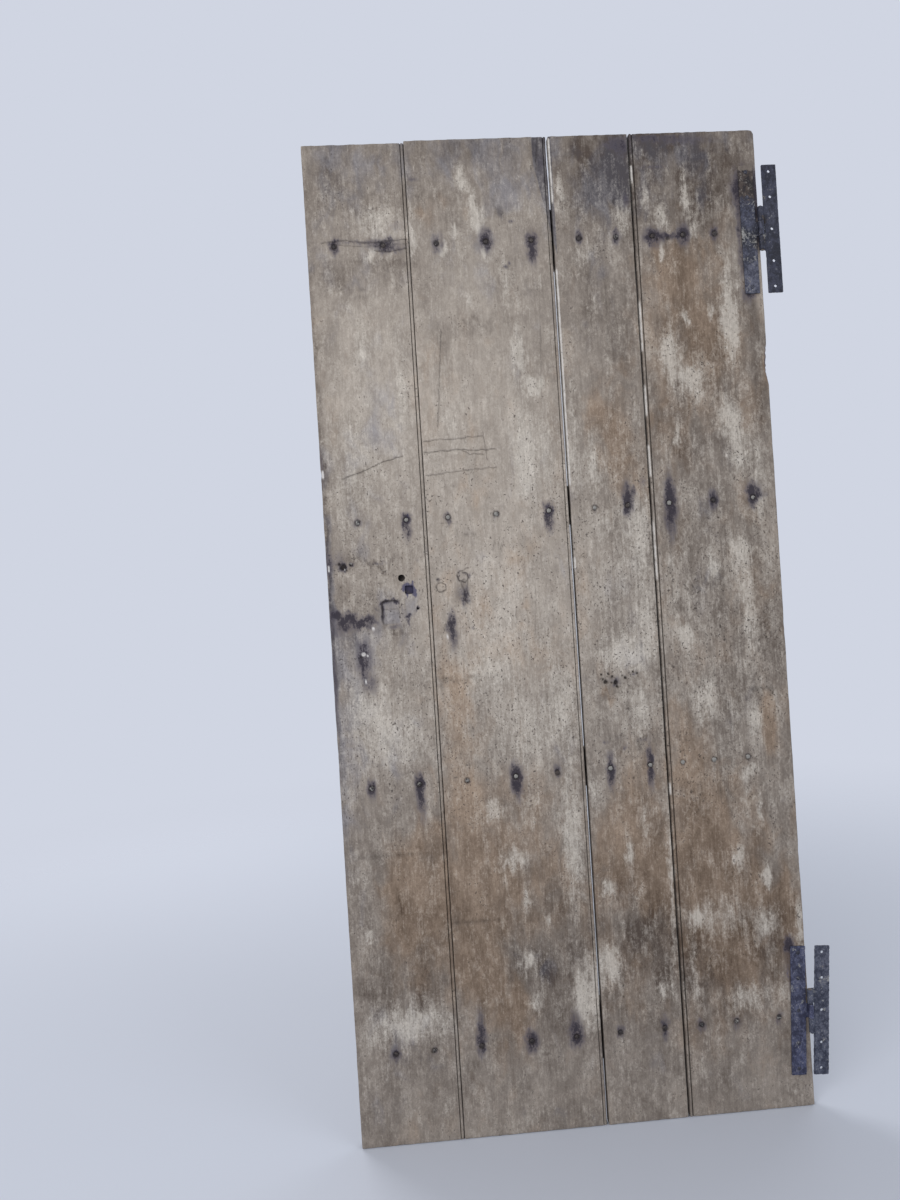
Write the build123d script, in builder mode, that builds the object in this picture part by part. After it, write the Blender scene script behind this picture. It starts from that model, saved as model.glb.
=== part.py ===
from build123d import *

import os
from math import cos, radians, sin

# Ledged plank door, taken off its frame, with two iron H hinges.
# Millimetres. +X runs from the latch edge to the hinge edge, +Y from the face into the door, +Z up.
# The boards' face and the backs of the hinge leaves lie at y = 0.
# The origin is the middle hole of the upper hinge's frame leaf, which carries the door.

os.makedirs("parts", exist_ok=True)

# Boards
door_height = 1981.0
board_thickness = 20.0
latch_board_width = 202.0
wide_board_width = 285.0
narrow_board_width = 161.0
hinge_board_width = 257.5
latch_joint = 1.0
middle_joint = 4.0
hinge_joint = 3.5
latch_board_drop = 4.0
bead_radius = 3.0
quirk_width = 1.3
worn_arris = 2.0
sharp_arris = 0.6
worn_corner_radius = 11.0

# A splinter broken out of the hinge edge
edge_chip_drop = 486.0
edge_chip_length = 66.0
edge_chip_width = 4.5
edge_chip_depth = 6.0

# Ledges
ledge_thickness = 25.0
outer_ledge_width = 120.0
inner_ledge_width = 78.0
ledge_end_margin = 20.0
ledge_chamfer = 5.0
top_ledge_drop = 199.5
upper_middle_ledge_drop = 738.5
lower_middle_ledge_rise = 713.5
bottom_ledge_rise = 183.5

# Nail rows: how far each runs below its ledge's middle, and its climb from latch edge to hinge edge
top_nails_drop = 8.0
top_nails_climb = -3.0
upper_middle_nails_drop = 11.0
upper_middle_nails_climb = 8.0
lower_middle_nails_drop = 5.0
lower_middle_nails_climb = 10.0
bottom_nails_drop = 2.0
bottom_nails_climb = 4.0

# Nails
nail_head_radius = 4.6
nail_head_sides = 8
nail_head_height = 2.1
nail_head_taper = 22.0
nail_head_sink = 1.5
nail_shank = 3.4
nail_clench_length = 15.0
nail_clench_thickness = 2.4
nail_point = 1.0
nail_clearance = 0.1

# Old latch fittings, all in the latch side board
latch_hole_radius = 7.0
latch_hole_depth = 15.0
latch_hole_from_edge = 146.0
latch_hole_rise = 1114.5
spindle_mortise_size = 17.0
spindle_mortise_depth = 7.0
spindle_mortise_shift = 13.5
spindle_mortise_drop = 24.0
peg_hole_radius = 2.6
peg_hole_depth = 12.0
peg_hole_shift = 28.5
peg_hole_drop = 62.0
plate_recess_width = 36.0
plate_recess_height = 48.0
plate_recess_corner = 7.0
plate_recess_depth = 1.2
plate_recess_shift = 24.5
plate_recess_drop = 67.0

# Hinges
upper_hinge_drop = 204.0
lower_hinge_rise = 193.5
edge_to_pin = 1.0
leaf_length = 260.0
leaf_width = 31.0
leaf_thickness = 3.0
leaf_inset = 8.5
leaf_corner = 1.5
leaf_hole_spread = 65.0
leaf_end_hole_spread = 116.5
leaf_hole_radius = 2.6
pin_radius = 3.0
pin_clearance = 0.05
pin_head_radius = 4.4
pin_tip_radius = 2.6
pin_head_height = 1.6
barrel_length = 87.0
knuckle_gap = 0.4
knuckle_roll = 285.0
strap_lap = 8.0
lower_door_leaf_lean = 3.0
lower_frame_leaf_lean = 4.0

# Nails of the door leaves
hinge_nail_head_radius = 4.2
hinge_nail_head_height = 1.8
hinge_nail_head_taper = 24.0
hinge_nail_shank = 3.4
hinge_nail_length = 19.0
hinge_nail_point_length = 6.0
hinge_nail_point_taper = 11.0
hinge_nail_turn = 31.0
hinge_nail_clearance = 0.05

# Places that follow from the sizes
pin_x = -(leaf_inset + leaf_width / 2)
barrel_radius = leaf_thickness + pin_radius + pin_clearance
bore_radius = pin_radius + pin_clearance
pin_y = -barrel_radius
hinge_edge_x = pin_x - edge_to_pin
hinge_board_x = hinge_edge_x - hinge_board_width
narrow_board_x = hinge_board_x - hinge_joint - narrow_board_width
wide_board_x = narrow_board_x - middle_joint - wide_board_width
latch_board_x = wide_board_x - latch_joint - latch_board_width
door_top = upper_hinge_drop
door_foot = door_top - door_height
door_width = hinge_edge_x - latch_board_x
lower_hinge_z = door_foot + lower_hinge_rise
back_of_ledges = board_thickness + ledge_thickness

# Each board: name, left edge, width, top, bead on its left edge, bead on its right edge,
# radius of its plain edges' corners, and its nails as shares of its width, row by row from the top
boards = [
    ("latch_side_board", latch_board_x, latch_board_width, door_top - latch_board_drop,
     False, True, worn_arris,
     [(0.265, 0.743), (0.329, 0.804), (0.309, 0.775), (0.384, 0.760)]),
    ("wide_board", wide_board_x, wide_board_width, door_top,
     False, True, sharp_arris,
     [(0.188, 0.532, 0.854), (0.149, 0.486, 0.858), (0.170, 0.511, 0.805), (0.156, 0.507, 0.823)]),
    ("narrow_board", narrow_board_x, narrow_board_width, door_top,
     False, False, sharp_arris,
     [(0.314, 0.786), (0.301, 0.717), (0.295, 0.798), (0.214, 0.773)]),
    ("hinge_side_board", hinge_board_x, hinge_board_width, door_top,
     True, False, worn_arris,
     [(0.140, 0.384, 0.637), (0.140, 0.493, 0.812), (0.120, 0.369, 0.641), (0.136, 0.416, 0.757)]),
]

# Each ledge: name, middle height, width, and its nails' drop and climb
ledges = [
    ("top_ledge", door_top - top_ledge_drop, outer_ledge_width, top_nails_drop, top_nails_climb),
    ("upper_middle_ledge", door_top - upper_middle_ledge_drop, inner_ledge_width,
     upper_middle_nails_drop, upper_middle_nails_climb),
    ("lower_middle_ledge", door_foot + lower_middle_ledge_rise, inner_ledge_width,
     lower_middle_nails_drop, lower_middle_nails_climb),
    ("bottom_ledge", door_foot + bottom_ledge_rise, outer_ledge_width,
     bottom_nails_drop, bottom_nails_climb),
]


def nail_row(board, row):
    """Nail places (x, z) of one board in one row."""
    left_edge, width, shares = board[1], board[2], board[7][row]
    _, middle, _, drop, climb = ledges[row]
    middle_x = hinge_edge_x - door_width / 2
    places = []
    for share in shares:
        x = left_edge + share * width
        places.append((x, middle - drop + climb * (x - middle_x) / door_width))
    return places


def board_nails(board):
    """Nail places of one board in all rows."""
    return [place for row in range(len(ledges)) for place in nail_row(board, row)]


def draw_board_edge(edge_x, inward, beaded, arris):
    """Draws a board's front corner, and returns where its flat face begins."""
    if beaded:
        groove = edge_x + 2 * inward * bead_radius
        face = groove + inward * quirk_width
        ThreePointArc((edge_x, bead_radius), (edge_x + inward * bead_radius, 0), (groove, bead_radius))
        Line((groove, bead_radius), (face, bead_radius))
        Line((face, bead_radius), (face, 0))
    else:
        face = edge_x + inward * arris
        near = arris * (1 - cos(radians(45)))
        ThreePointArc((edge_x, arris), (edge_x + inward * near, near), (face, 0))
    return face


def draw_board_section(left, width, bead_left, bead_right, arris):
    """Draws a board's section, with its face at y = 0."""
    right = left + width
    left_start = bead_radius if bead_left else arris
    right_start = bead_radius if bead_right else arris
    left_face = draw_board_edge(left, 1, bead_left, arris)
    right_face = draw_board_edge(right, -1, bead_right, arris)
    Line((left_face, 0), (right_face, 0))
    Line((right, right_start), (right, board_thickness))
    Line((right, board_thickness), (left, board_thickness))
    Line((left, board_thickness), (left, left_start))


def leaf_plane(middle_z, lean):
    """Plane on the back of a hinge leaf, looking out of the door, turned clockwise by lean."""
    turn = radians(lean)
    return Plane(origin=(pin_x, 0, middle_z), x_dir=(cos(turn), 0, -sin(turn)), z_dir=(0, -1, 0))


def leaf_hole_places(side):
    """Hole places on a leaf's own plane. Side is 1 for the frame leaf and -1 for the door leaf."""
    across = side * (leaf_inset + leaf_width / 2)
    spreads = (leaf_end_hole_spread, leaf_hole_spread, 0, -leaf_hole_spread, -leaf_end_hole_spread)
    return [(across, along) for along in spreads]


def hinge_nail_places():
    """Places of a door leaf's nails on its plane, each turned a little further than the last."""
    return [
        Location((across, along, 0), (0, 0, index * hinge_nail_turn))
        for index, (across, along) in enumerate(leaf_hole_places(-1))
    ]


def knuckle_spans(side, middle_z):
    """Heights between which a leaf's knuckles stand: two for the frame leaf, one for the door leaf."""
    knuckle = (barrel_length - 2 * knuckle_gap) / 3
    if side < 0:
        return [(middle_z - knuckle / 2, middle_z + knuckle / 2)]
    low, high = middle_z - barrel_length / 2, middle_z + barrel_length / 2
    return [(low, low + knuckle), (high - knuckle, high)]


def draw_knuckle_section(side):
    """Draws a strap that comes in from its leaf and rolls round the pin."""

    def on_roll(radius, angle):
        return (pin_x - side * radius * sin(radians(angle)), pin_y + radius * cos(radians(angle)))

    strap_end = pin_x + side * (leaf_inset + strap_lap)
    Line((strap_end, 0), (pin_x, 0))
    ThreePointArc(
        (pin_x, 0), on_roll(barrel_radius, knuckle_roll / 2), on_roll(barrel_radius, knuckle_roll)
    )
    Line(on_roll(barrel_radius, knuckle_roll), on_roll(bore_radius, knuckle_roll))
    ThreePointArc(
        on_roll(bore_radius, knuckle_roll),
        on_roll(bore_radius, knuckle_roll / 2),
        (pin_x, -leaf_thickness),
    )
    Line((pin_x, -leaf_thickness), (strap_end, -leaf_thickness))
    Line((strap_end, -leaf_thickness), (strap_end, 0))


# Boards: a beaded section drawn out to the board's length, then nail holes with sunk heads
for board in boards:
    name, left, width, top, bead_left, bead_right, arris, _ = board
    nails = board_nails(board)
    with BuildPart() as plank:
        with BuildSketch(Plane.XY.offset(door_foot)):
            with BuildLine():
                draw_board_section(left, width, bead_left, bead_right, arris)
            make_face()
        extrude(amount=top - door_foot)
        if name == "hinge_side_board":
            corner = (left + width, top)
            below = (left + width, top - worn_corner_radius)
            beside = (left + width - worn_corner_radius, top)
            with BuildSketch(Plane.XZ):
                with BuildLine():
                    Polyline(below, corner, beside)
                    RadiusArc(beside, below, worn_corner_radius)
                make_face()
            extrude(amount=-board_thickness, mode=Mode.SUBTRACT)
            chip_middle = (left + width - edge_chip_width, top - edge_chip_drop)
            chip_top = (left + width, top - edge_chip_drop + edge_chip_length / 2)
            chip_foot = (left + width, top - edge_chip_drop - edge_chip_length / 2)
            with BuildSketch(Plane.XZ):
                with BuildLine():
                    Line(chip_foot, chip_top)
                    ThreePointArc(chip_top, chip_middle, chip_foot)
                make_face()
            extrude(amount=-edge_chip_depth, mode=Mode.SUBTRACT)
        with BuildSketch(Plane.XZ):
            with Locations(*nails):
                RegularPolygon(nail_head_radius + nail_clearance, nail_head_sides)
        extrude(amount=-nail_head_sink, mode=Mode.SUBTRACT)
        with BuildSketch(Plane.XZ):
            with Locations(*nails):
                Rectangle(nail_shank + 2 * nail_clearance, nail_shank + 2 * nail_clearance)
        extrude(amount=-board_thickness, mode=Mode.SUBTRACT)
        if name == "latch_side_board":
            latch_x = left + latch_hole_from_edge
            latch_z = door_foot + latch_hole_rise
            with Locations(Plane.XZ):
                with Locations((latch_x, latch_z)):
                    Hole(latch_hole_radius, depth=latch_hole_depth)
                with Locations((latch_x + peg_hole_shift, latch_z - peg_hole_drop)):
                    Hole(peg_hole_radius, depth=peg_hole_depth)
            with BuildSketch(Plane.XZ):
                with Locations((latch_x + spindle_mortise_shift, latch_z - spindle_mortise_drop)):
                    Rectangle(spindle_mortise_size, spindle_mortise_size)
            extrude(amount=-spindle_mortise_depth, mode=Mode.SUBTRACT)
            with BuildSketch(Plane.XZ):
                with Locations((latch_x - plate_recess_shift, latch_z - plate_recess_drop)):
                    RectangleRounded(plate_recess_width, plate_recess_height, plate_recess_corner)
            extrude(amount=-plate_recess_depth, mode=Mode.SUBTRACT)
        if name == "hinge_side_board":
            hole_width = hinge_nail_shank + 2 * hinge_nail_clearance
            for middle_z, lean in ((0, 0), (lower_hinge_z, lower_door_leaf_lean)):
                with BuildSketch(leaf_plane(middle_z, lean)):
                    with Locations(*hinge_nail_places()):
                        Rectangle(hole_width, hole_width)
                extrude(amount=-(hinge_nail_length - leaf_thickness), mode=Mode.SUBTRACT)
    plank.part.label = name
    export_step(plank.part, f"parts/{name}.step")

# Ledges: flat bars across the boards' backs, with chamfered outer edges
for row, (name, middle, width, _, _) in enumerate(ledges):
    nails = [place for board in boards for place in nail_row(board, row)]
    with BuildPart() as ledge:
        with BuildSketch(Plane.XZ.offset(-board_thickness)):
            with Locations((hinge_edge_x - door_width / 2, middle)):
                Rectangle(door_width - 2 * ledge_end_margin, width)
        extrude(amount=-ledge_thickness)
        chamfer(ledge.faces().sort_by(Axis.Y)[-1].edges(), ledge_chamfer)
        with BuildSketch(Plane.XZ.offset(-board_thickness)):
            with Locations(*nails):
                Rectangle(nail_shank + 2 * nail_clearance, nail_shank + 2 * nail_clearance)
        extrude(amount=-ledge_thickness, mode=Mode.SUBTRACT)
    ledge.part.label = name
    export_step(ledge.part, f"parts/{name}.step")

# One forged nail, driven from the face and clenched down over the back of a ledge
half_shank = nail_shank / 2
clench_back = back_of_ledges + nail_clench_thickness
with BuildPart() as nail:
    with BuildSketch(Plane.XZ.offset(-nail_head_sink)):
        RegularPolygon(nail_head_radius, nail_head_sides)
    extrude(amount=nail_head_height, taper=nail_head_taper)
    with BuildSketch(Plane.YZ.offset(-half_shank)):
        with BuildLine():
            Polyline(
                (nail_head_sink, half_shank),
                (clench_back - half_shank, half_shank),
                (clench_back, 0),
                (clench_back, -nail_clench_length / 2),
                (back_of_ledges + nail_point, -half_shank - nail_clench_length),
                (back_of_ledges, -half_shank - nail_clench_length),
                (back_of_ledges, -half_shank),
                (nail_head_sink, -half_shank),
                (nail_head_sink, half_shank),
            )
        make_face()
    extrude(amount=nail_shank)

# Each ledge's row of nails is one node of separate solids
for row, (name, _, _, _, _) in enumerate(ledges):
    with BuildPart() as nail_group:
        for board in boards:
            for x, z in nail_row(board, row):
                add(nail.part.moved(Location((x, 0, z))))
    nail_group.part.label = f"{name}_nails"
    export_step(nail_group.part, f"parts/{name}_nails.step")

# Hinge leaves: a drilled plate, with straps rolled round the pin
leaves = [
    ("upper_door_leaf", -1, 0, 0),
    ("upper_frame_leaf", 1, 0, 0),
    ("lower_door_leaf", -1, lower_hinge_z, lower_door_leaf_lean),
    ("lower_frame_leaf", 1, lower_hinge_z, lower_frame_leaf_lean),
]
for name, side, middle_z, lean in leaves:
    plane = leaf_plane(middle_z, lean)
    with BuildPart() as leaf:
        with BuildSketch(plane) as plate:
            with Locations((side * (leaf_inset + leaf_width / 2), 0)):
                Rectangle(leaf_width, leaf_length)
            chamfer(plate.vertices(), leaf_corner)
        extrude(amount=leaf_thickness)
        for low, high in knuckle_spans(side, middle_z):
            with BuildSketch(Plane.XY.offset(low)):
                with BuildLine():
                    draw_knuckle_section(side)
                make_face()
            extrude(amount=high - low)
        with Locations(plane.offset(leaf_thickness)):
            with Locations(*leaf_hole_places(side)):
                Hole(leaf_hole_radius, depth=leaf_thickness)
    leaf.part.label = name
    export_step(leaf.part, f"parts/{name}.step")

# Hinge pins: a rod with both ends peened over the outer knuckles
for name, middle_z in (("upper_hinge_pin", 0), ("lower_hinge_pin", lower_hinge_z)):
    half_barrel = barrel_length / 2
    half_pin = half_barrel + pin_head_height
    with BuildPart() as pin:
        with BuildSketch(Plane.XZ):
            with BuildLine():
                Polyline(
                    (0, -half_pin),
                    (pin_tip_radius, -half_pin),
                    (pin_head_radius, -half_barrel),
                    (pin_radius, -half_barrel),
                    (pin_radius, half_barrel),
                    (pin_head_radius, half_barrel),
                    (pin_tip_radius, half_pin),
                    (0, half_pin),
                    (0, -half_pin),
                )
            make_face()
        revolve(axis=Axis.Z)
    placed_pin = pin.part.moved(Location((pin_x, pin_y, middle_z)))
    placed_pin.label = name
    export_step(placed_pin, f"parts/{name}.step")

# One nail of a door leaf: a low faceted head on the leaf, a square shank and a drawn point
with BuildPart() as hinge_nail:
    with BuildSketch():
        RegularPolygon(hinge_nail_head_radius, nail_head_sides)
    extrude(amount=hinge_nail_head_height, taper=hinge_nail_head_taper)
    with BuildSketch():
        Rectangle(hinge_nail_shank, hinge_nail_shank)
    extrude(amount=-(hinge_nail_length - hinge_nail_point_length))
    with BuildSketch(Plane.XY.offset(-(hinge_nail_length - hinge_nail_point_length))):
        Rectangle(hinge_nail_shank, hinge_nail_shank)
    extrude(amount=-hinge_nail_point_length, taper=hinge_nail_point_taper)

for name, middle_z, lean in (
    ("upper_hinge_nails", 0, 0),
    ("lower_hinge_nails", lower_hinge_z, lower_door_leaf_lean),
):
    front = leaf_plane(middle_z, lean).offset(leaf_thickness)
    with BuildPart() as hinge_nail_group:
        for place in hinge_nail_places():
            add(hinge_nail.part.moved(front.location * place))
    hinge_nail_group.part.label = name
    export_step(hinge_nail_group.part, f"parts/{name}.step")
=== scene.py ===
import math

import bmesh
import bpy
import numpy as np
from mathutils import Matrix, Vector, noise


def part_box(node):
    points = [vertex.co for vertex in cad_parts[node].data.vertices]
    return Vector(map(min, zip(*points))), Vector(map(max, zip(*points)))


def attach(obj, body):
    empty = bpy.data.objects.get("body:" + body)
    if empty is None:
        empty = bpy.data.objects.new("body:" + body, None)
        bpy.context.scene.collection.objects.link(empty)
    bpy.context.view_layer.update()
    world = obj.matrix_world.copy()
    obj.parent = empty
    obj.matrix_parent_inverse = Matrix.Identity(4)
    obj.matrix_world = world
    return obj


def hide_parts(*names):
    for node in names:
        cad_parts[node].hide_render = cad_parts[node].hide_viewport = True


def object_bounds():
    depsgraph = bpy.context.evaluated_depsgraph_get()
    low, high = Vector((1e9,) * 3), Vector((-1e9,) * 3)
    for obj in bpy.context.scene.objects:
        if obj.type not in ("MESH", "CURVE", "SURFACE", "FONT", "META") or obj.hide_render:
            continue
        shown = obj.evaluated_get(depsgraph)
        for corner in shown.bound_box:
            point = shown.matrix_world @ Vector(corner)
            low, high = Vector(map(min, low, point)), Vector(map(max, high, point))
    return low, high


# An old ledged plank door with iron H hinges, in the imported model's frame.
# Shapes are worked out in millimetres and written to their meshes in metres.
# A place on the door's face is written (across, down), from the top left corner of the face.

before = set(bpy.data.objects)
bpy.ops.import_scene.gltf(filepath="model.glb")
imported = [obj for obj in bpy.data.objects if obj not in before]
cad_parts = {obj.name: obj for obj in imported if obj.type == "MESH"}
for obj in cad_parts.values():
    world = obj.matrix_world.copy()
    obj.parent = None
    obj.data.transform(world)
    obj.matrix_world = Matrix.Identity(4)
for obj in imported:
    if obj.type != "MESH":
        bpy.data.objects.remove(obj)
cad_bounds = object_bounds()

MM = 0.001

# The face's top left corner lies this far in from the corner of the boards' boxes
corner_across = 1.5
corner_down = 2.5
face_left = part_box("latch_side_board")[0].x / MM + corner_across
face_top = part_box("wide_board")[1].z / MM - corner_down

board_names = ("latch_side_board", "wide_board", "narrow_board", "hinge_side_board")
ledge_names = ("top_ledge", "upper_middle_ledge", "lower_middle_ledge", "bottom_ledge")

# Board meshes
column_step = 1.7
row_step = 7.0
fine_row_step = 1.8
back_column_step = 9.0
nail_band = 17.0
bead_radius = 3.0
quirk_width = 1.3
worn_arris = 2.0
sharp_arris = 0.7
end_arris = 1.6
back_arris = 0.8
worn_corner_radius = 11.0
corner_draw = 0.72
grain_depth = 0.14
hollow_depth = 0.32
dent_depth = 0.25
back_depth = 0.25
wave_height = 0.45
outer_wear = 0.35
joint_wear = 0.15
edge_fade = 3.0
end_fade = 6.0

# Two boards swell into the first joint, between these depths
joint_swell = 0.47
swell_from = 5
swell_to = 18

# Ledges
ledge_chamfer = 5.0
ledge_step = 3.2
ledge_near_step = 18.0
ledge_column_step = 6.0
clench_drop = 7
clench_reach = 9

# Nails: the gap that tells two apart, their heads, and the dished wood round them
nail_gap = 12.0
near_face = 1.0
head_sides = 18
head_radius = 3.7
head_spread = 0.8
head_height = 1.3
head_sink = 1.5
leaf_head_radius = 4.1
leaf_head_height = 1.5
leaf_head_sink = 0.2
dish_radius = 6.6
dish_depth = 1.5
flat_ground_radius = 9
dark_ring_radius = 5.6
dark_ring_width = 1.6
head_reach = 4.6

# Rust stains of the nails are this much stronger, wider and longer than their table says
stain_strength = 1.12
stain_width = 1.12
stain_reach = 1.08

# Hinge leaves: the plate's half sizes and thickness, and the step of its mesh
leaf_half_length = 130.0
leaf_half_width = 15.5
leaf_thickness = 3.0
leaf_mesh_step = 1.0

# Shades, as red, green and blue from 0 to 255. A pair is the two ends of a range
wood_shades = ((77, 66, 59), (188, 178, 168))
cool_wood_shades = ((71, 67, 71), (180, 175, 176))
warm_wood_shades = ((81, 65, 52), (190, 169, 150))
limewash_shades = ((128, 119, 110), (222, 215, 206))
pinhole_shade = (54, 46, 42)
scratch_shade = (74, 62, 54)
faint_stain_shade = (80, 75, 86)
black_stain_shade = (40, 35, 46)
blue_paint_shade = (46, 48, 88)
# The hollow colour is painted shade in holes, pits, cracks, bead quirks and the joints between boards, and
# also the colour of the rust rings round the nail heads
shadow_and_rust_ring_shade = (32, 25, 22)
plug_shade = (216, 213, 212)
worn_iron_shades = ((44, 46, 62), (104, 105, 118))
rust_shade = (60, 50, 46)
crust_shades = ((30, 25, 27), (72, 62, 57))
lump_shade = (152, 150, 146)
dirt_shades = ((78, 69, 64), (128, 118, 110))
nail_shades = ((34, 30, 32), (66, 58, 55))
leaf_nail_shades = ((30, 30, 38), (62, 62, 74))
pin_shades = ((38, 39, 50), (60, 62, 76))

# The studio: the background's shade, the floor, where the lamps aim in metres, and the room's light
paper_shade = (208, 213, 226)
floor_radius = 4200.0
floor_drop = 1.0
floor_sides = 96
aim_across = -0.45
room_colour = (0.93, 0.96, 1.0, 1.0)
room_strength = 0.42

# The camera's lens and the height of its frame
lens_length = 27.0
frame_height = 36.0

# Depth of each material's bump
wood_bump = 0.6
iron_bump = 0.7

# How much weaker each octave of noise is than the one before
octave_gain = 0.55

# Bands of closer rows on each board's face, besides those at the nails
fine_bands = {
    "latch_side_board": [(618, 664), (824, 960), (1000, 1050)],
    "wide_board": [(588, 668), (850, 930)],
    "narrow_board": [(1064, 1112)],
    "hinge_side_board": [(424, 516)],
}

# Beads on a board's left and right edges
beads = {
    "latch_side_board": (False, True),
    "wide_board": (False, True),
    "narrow_board": (False, False),
    "hinge_side_board": (True, False),
}

# Old latch fittings: centre, and half size or radius. Their holes narrow a little towards the floor
latch_hole = (144.5, 864.0, 7.0)
spindle_mortise = (158.0, 888.0, 8.5)
peg_hole = (173.0, 926.0, 2.6)
latch_hole_depth = 15.0
mortise_depth = 7.0
peg_depth = 12.0
wall_levels = 5
hole_taper = 0.10

# Recess of an old latch plate: centre and half sizes
plate_recess = (120.0, 931.0, 18.0, 24.0)
plate_corner = 7.0
plate_depth = 1.2

# Splinter broken out of the hinge edge
chip_down = 483.5
chip_half_length = 33.0
chip_width = 4.5
chip_depth = 6.0

# Wedge that has split off the wide board's top right corner: its left edge, from and to
wedge_top = (458.0, 50.0)
wedge_tip = (496.0, 239.0)
wedge_depth = 0.9

# How far a board's left and right side swell into a joint
tight_joints = {"latch_side_board": (0, joint_swell), "wide_board": (joint_swell, 0)}

# Rust stain of each nail, row by row: strength, reach up, reach down, half width
nail_stains = (
    ((0.85, 12, 15, 8), (0.5, 14, 14, 15), (0.7, 19, 18, 10), (0.95, 24, 18, 12), (0.8, 15, 32, 11),
     (0.75, 13, 11, 7), (0.7, 13, 15, 7), (1.0, 16, 19, 15), (0.95, 20, 19, 10), (0.75, 15, 15, 8)),
    ((0.6, 8, 9, 8), (1.0, 11, 33, 8), (0.6, 12, 15, 6), (0.45, 8, 9, 7), (1.0, 15, 35, 9), (0.4, 6, 10, 5),
     (1.0, 38, 19, 9), (1.0, 46, 60, 8), (0.9, 19, 17, 8), (1.0, 17, 17, 10)),
    ((0.85, 15, 19, 8), (0.95, 19, 35, 8), (0.4, 6, 9, 5), (1.0, 24, 28, 11), (0.7, 17, 11, 7),
     (1.0, 27, 36, 7), (1.0, 34, 38, 6), (0.35, 7, 9, 6), (0.2, 5, 7, 5), (0.35, 8, 9, 6)),
    ((0.75, 16, 15, 9), (0.4, 9, 10, 7), (0.95, 58, 20, 8), (0.9, 22, 20, 12), (1.0, 38, 20, 12),
     (0.65, 14, 12, 8), (0.85, 22, 20, 7), (0.5, 12, 14, 8), (0.5, 12, 14, 8), (0.5, 12, 14, 8)),
)

# How pale each nail's head is, row by row
nail_centres = (
    (0.1, 0.1, 0.1, 0.1, 0.1, 0.0, 0.3, 0.1, 0.0, 0.1),
    (0.5, 0.8, 0.7, 0.7, 0.8, 0.9, 0.2, 0.7, 0.0, 0.7),
    (0.5, 0.4, 0.5, 0.8, 0.1, 0.9, 0.9, 0.8, 1.0, 0.9),
    (0.1, 0.3, 0.1, 0.1, 0.1, 0.2, 0.1, 0.4, 0.4, 0.4),
)

# Limewash that is left on the face: across, down, half width, half height, strength
lime_patches = (
    (150, 160, 45, 34, 0.5), (105, 560, 85, 230, 0.14), (40, 746, 24, 30, 0.3), (60, 640, 40, 60, 0.22),
    (110, 1180, 60, 46, 0.42), (60, 1120, 40, 50, 0.4), (100, 1744, 84, 34, 0.62), (32, 1562, 20, 20, 0.28),
    (125, 222, 14, 12, 0.7), (92, 410, 12, 40, 0.4), (168, 500, 16, 70, 0.34), (20, 1452, 16, 10, 0.3),
    (312, 78, 10, 26, 0.75), (330, 125, 8, 34, 0.75), (340, 160, 12, 22, 0.7), (205, 190, 7, 38, 0.65),
    (268, 218, 9, 12, 1.0), (348, 228, 7, 11, 1.0), (290, 182, 8, 11, 0.75), (314, 320, 8, 14, 0.6),
    (404, 440, 12, 38, 1.05), (432, 497, 17, 11, 1.4), (405, 640, 24, 86, 0.75), (250, 640, 60, 90, 0.12),
    (445, 620, 26, 60, 0.3), (265, 560, 26, 60, 0.2), (330, 920, 70, 100, 0.26), (300, 1060, 40, 40, 0.4),
    (333, 1434, 28, 22, 0.55), (454, 1400, 20, 110, 0.62), (456, 1716, 20, 60, 0.72),
    (350, 1640, 18, 18, 0.55), (380, 1180, 60, 60, 0.34), (353, 1518, 6, 28, 0.5),
    (452, 1130, 26, 70, 0.45), (390, 285, 10, 40, 0.4), (361, 1722, 14, 20, 0.5), (394, 1560, 6, 9, 0.5),
    (300, 1330, 22, 26, 0.34), (380, 1320, 20, 30, 0.26), (508, 118, 8, 36, 0.6), (626, 178, 14, 32, 0.45),
    (552, 240, 16, 24, 0.4), (628, 800, 24, 70, 0.5), (541, 654, 11, 38, 0.6), (502, 640, 18, 60, 0.34),
    (592, 1040, 50, 30, 0.55), (630, 980, 16, 70, 0.45), (500, 1310, 12, 40, 0.4), (567, 1430, 9, 32, 0.6),
    (600, 1390, 10, 36, 0.4), (521, 1507, 16, 13, 0.5), (513, 1660, 22, 44, 0.6), (482, 1700, 10, 80, 0.5),
    (620, 1712, 14, 20, 0.4), (648, 1480, 6, 130, 0.5), (590, 640, 26, 60, 0.14), (570, 870, 60, 60, 0.12),
    (610, 1150, 34, 44, 0.34), (556, 770, 24, 30, 0.3), (840, 380, 17, 80, 0.85), (762, 120, 7, 30, 0.7),
    (712, 168, 11, 30, 0.55), (775, 196, 12, 26, 0.55), (708, 448, 20, 44, 0.75), (750, 500, 30, 30, 0.7),
    (822, 570, 20, 44, 0.55), (842, 640, 20, 60, 0.45), (716, 620, 8, 24, 0.6), (828, 850, 20, 26, 0.48),
    (775, 880, 12, 26, 0.45), (708, 1014, 13, 20, 0.7), (690, 930, 8, 70, 0.3), (840, 960, 14, 110, 0.4),
    (880, 700, 14, 120, 0.3), (838, 1190, 14, 36, 0.6), (742, 1140, 30, 40, 0.4), (821, 1298, 11, 16, 0.7),
    (838, 1368, 5, 34, 0.5), (843, 1512, 7, 18, 0.85), (788, 1468, 15, 22, 0.6), (693, 1580, 12, 14, 0.6),
    (740, 1580, 40, 40, 0.4), (832, 1602, 20, 34, 0.48), (790, 1752, 40, 24, 0.52),
    (680, 1680, 10, 90, 0.3), (904, 1610, 6, 44, 0.7), (868, 1742, 16, 30, 0.4), (748, 369, 7, 14, 0.8),
    (802, 364, 8, 14, 0.6), (710, 239, 6, 14, 0.6), (682, 120, 8, 26, 0.4), (575, 1000, 90, 330, 0.12),
    (785, 940, 120, 400, 0.12), (100, 1060, 110, 260, 0.1), (340, 1130, 130, 240, 0.1),
)

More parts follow.
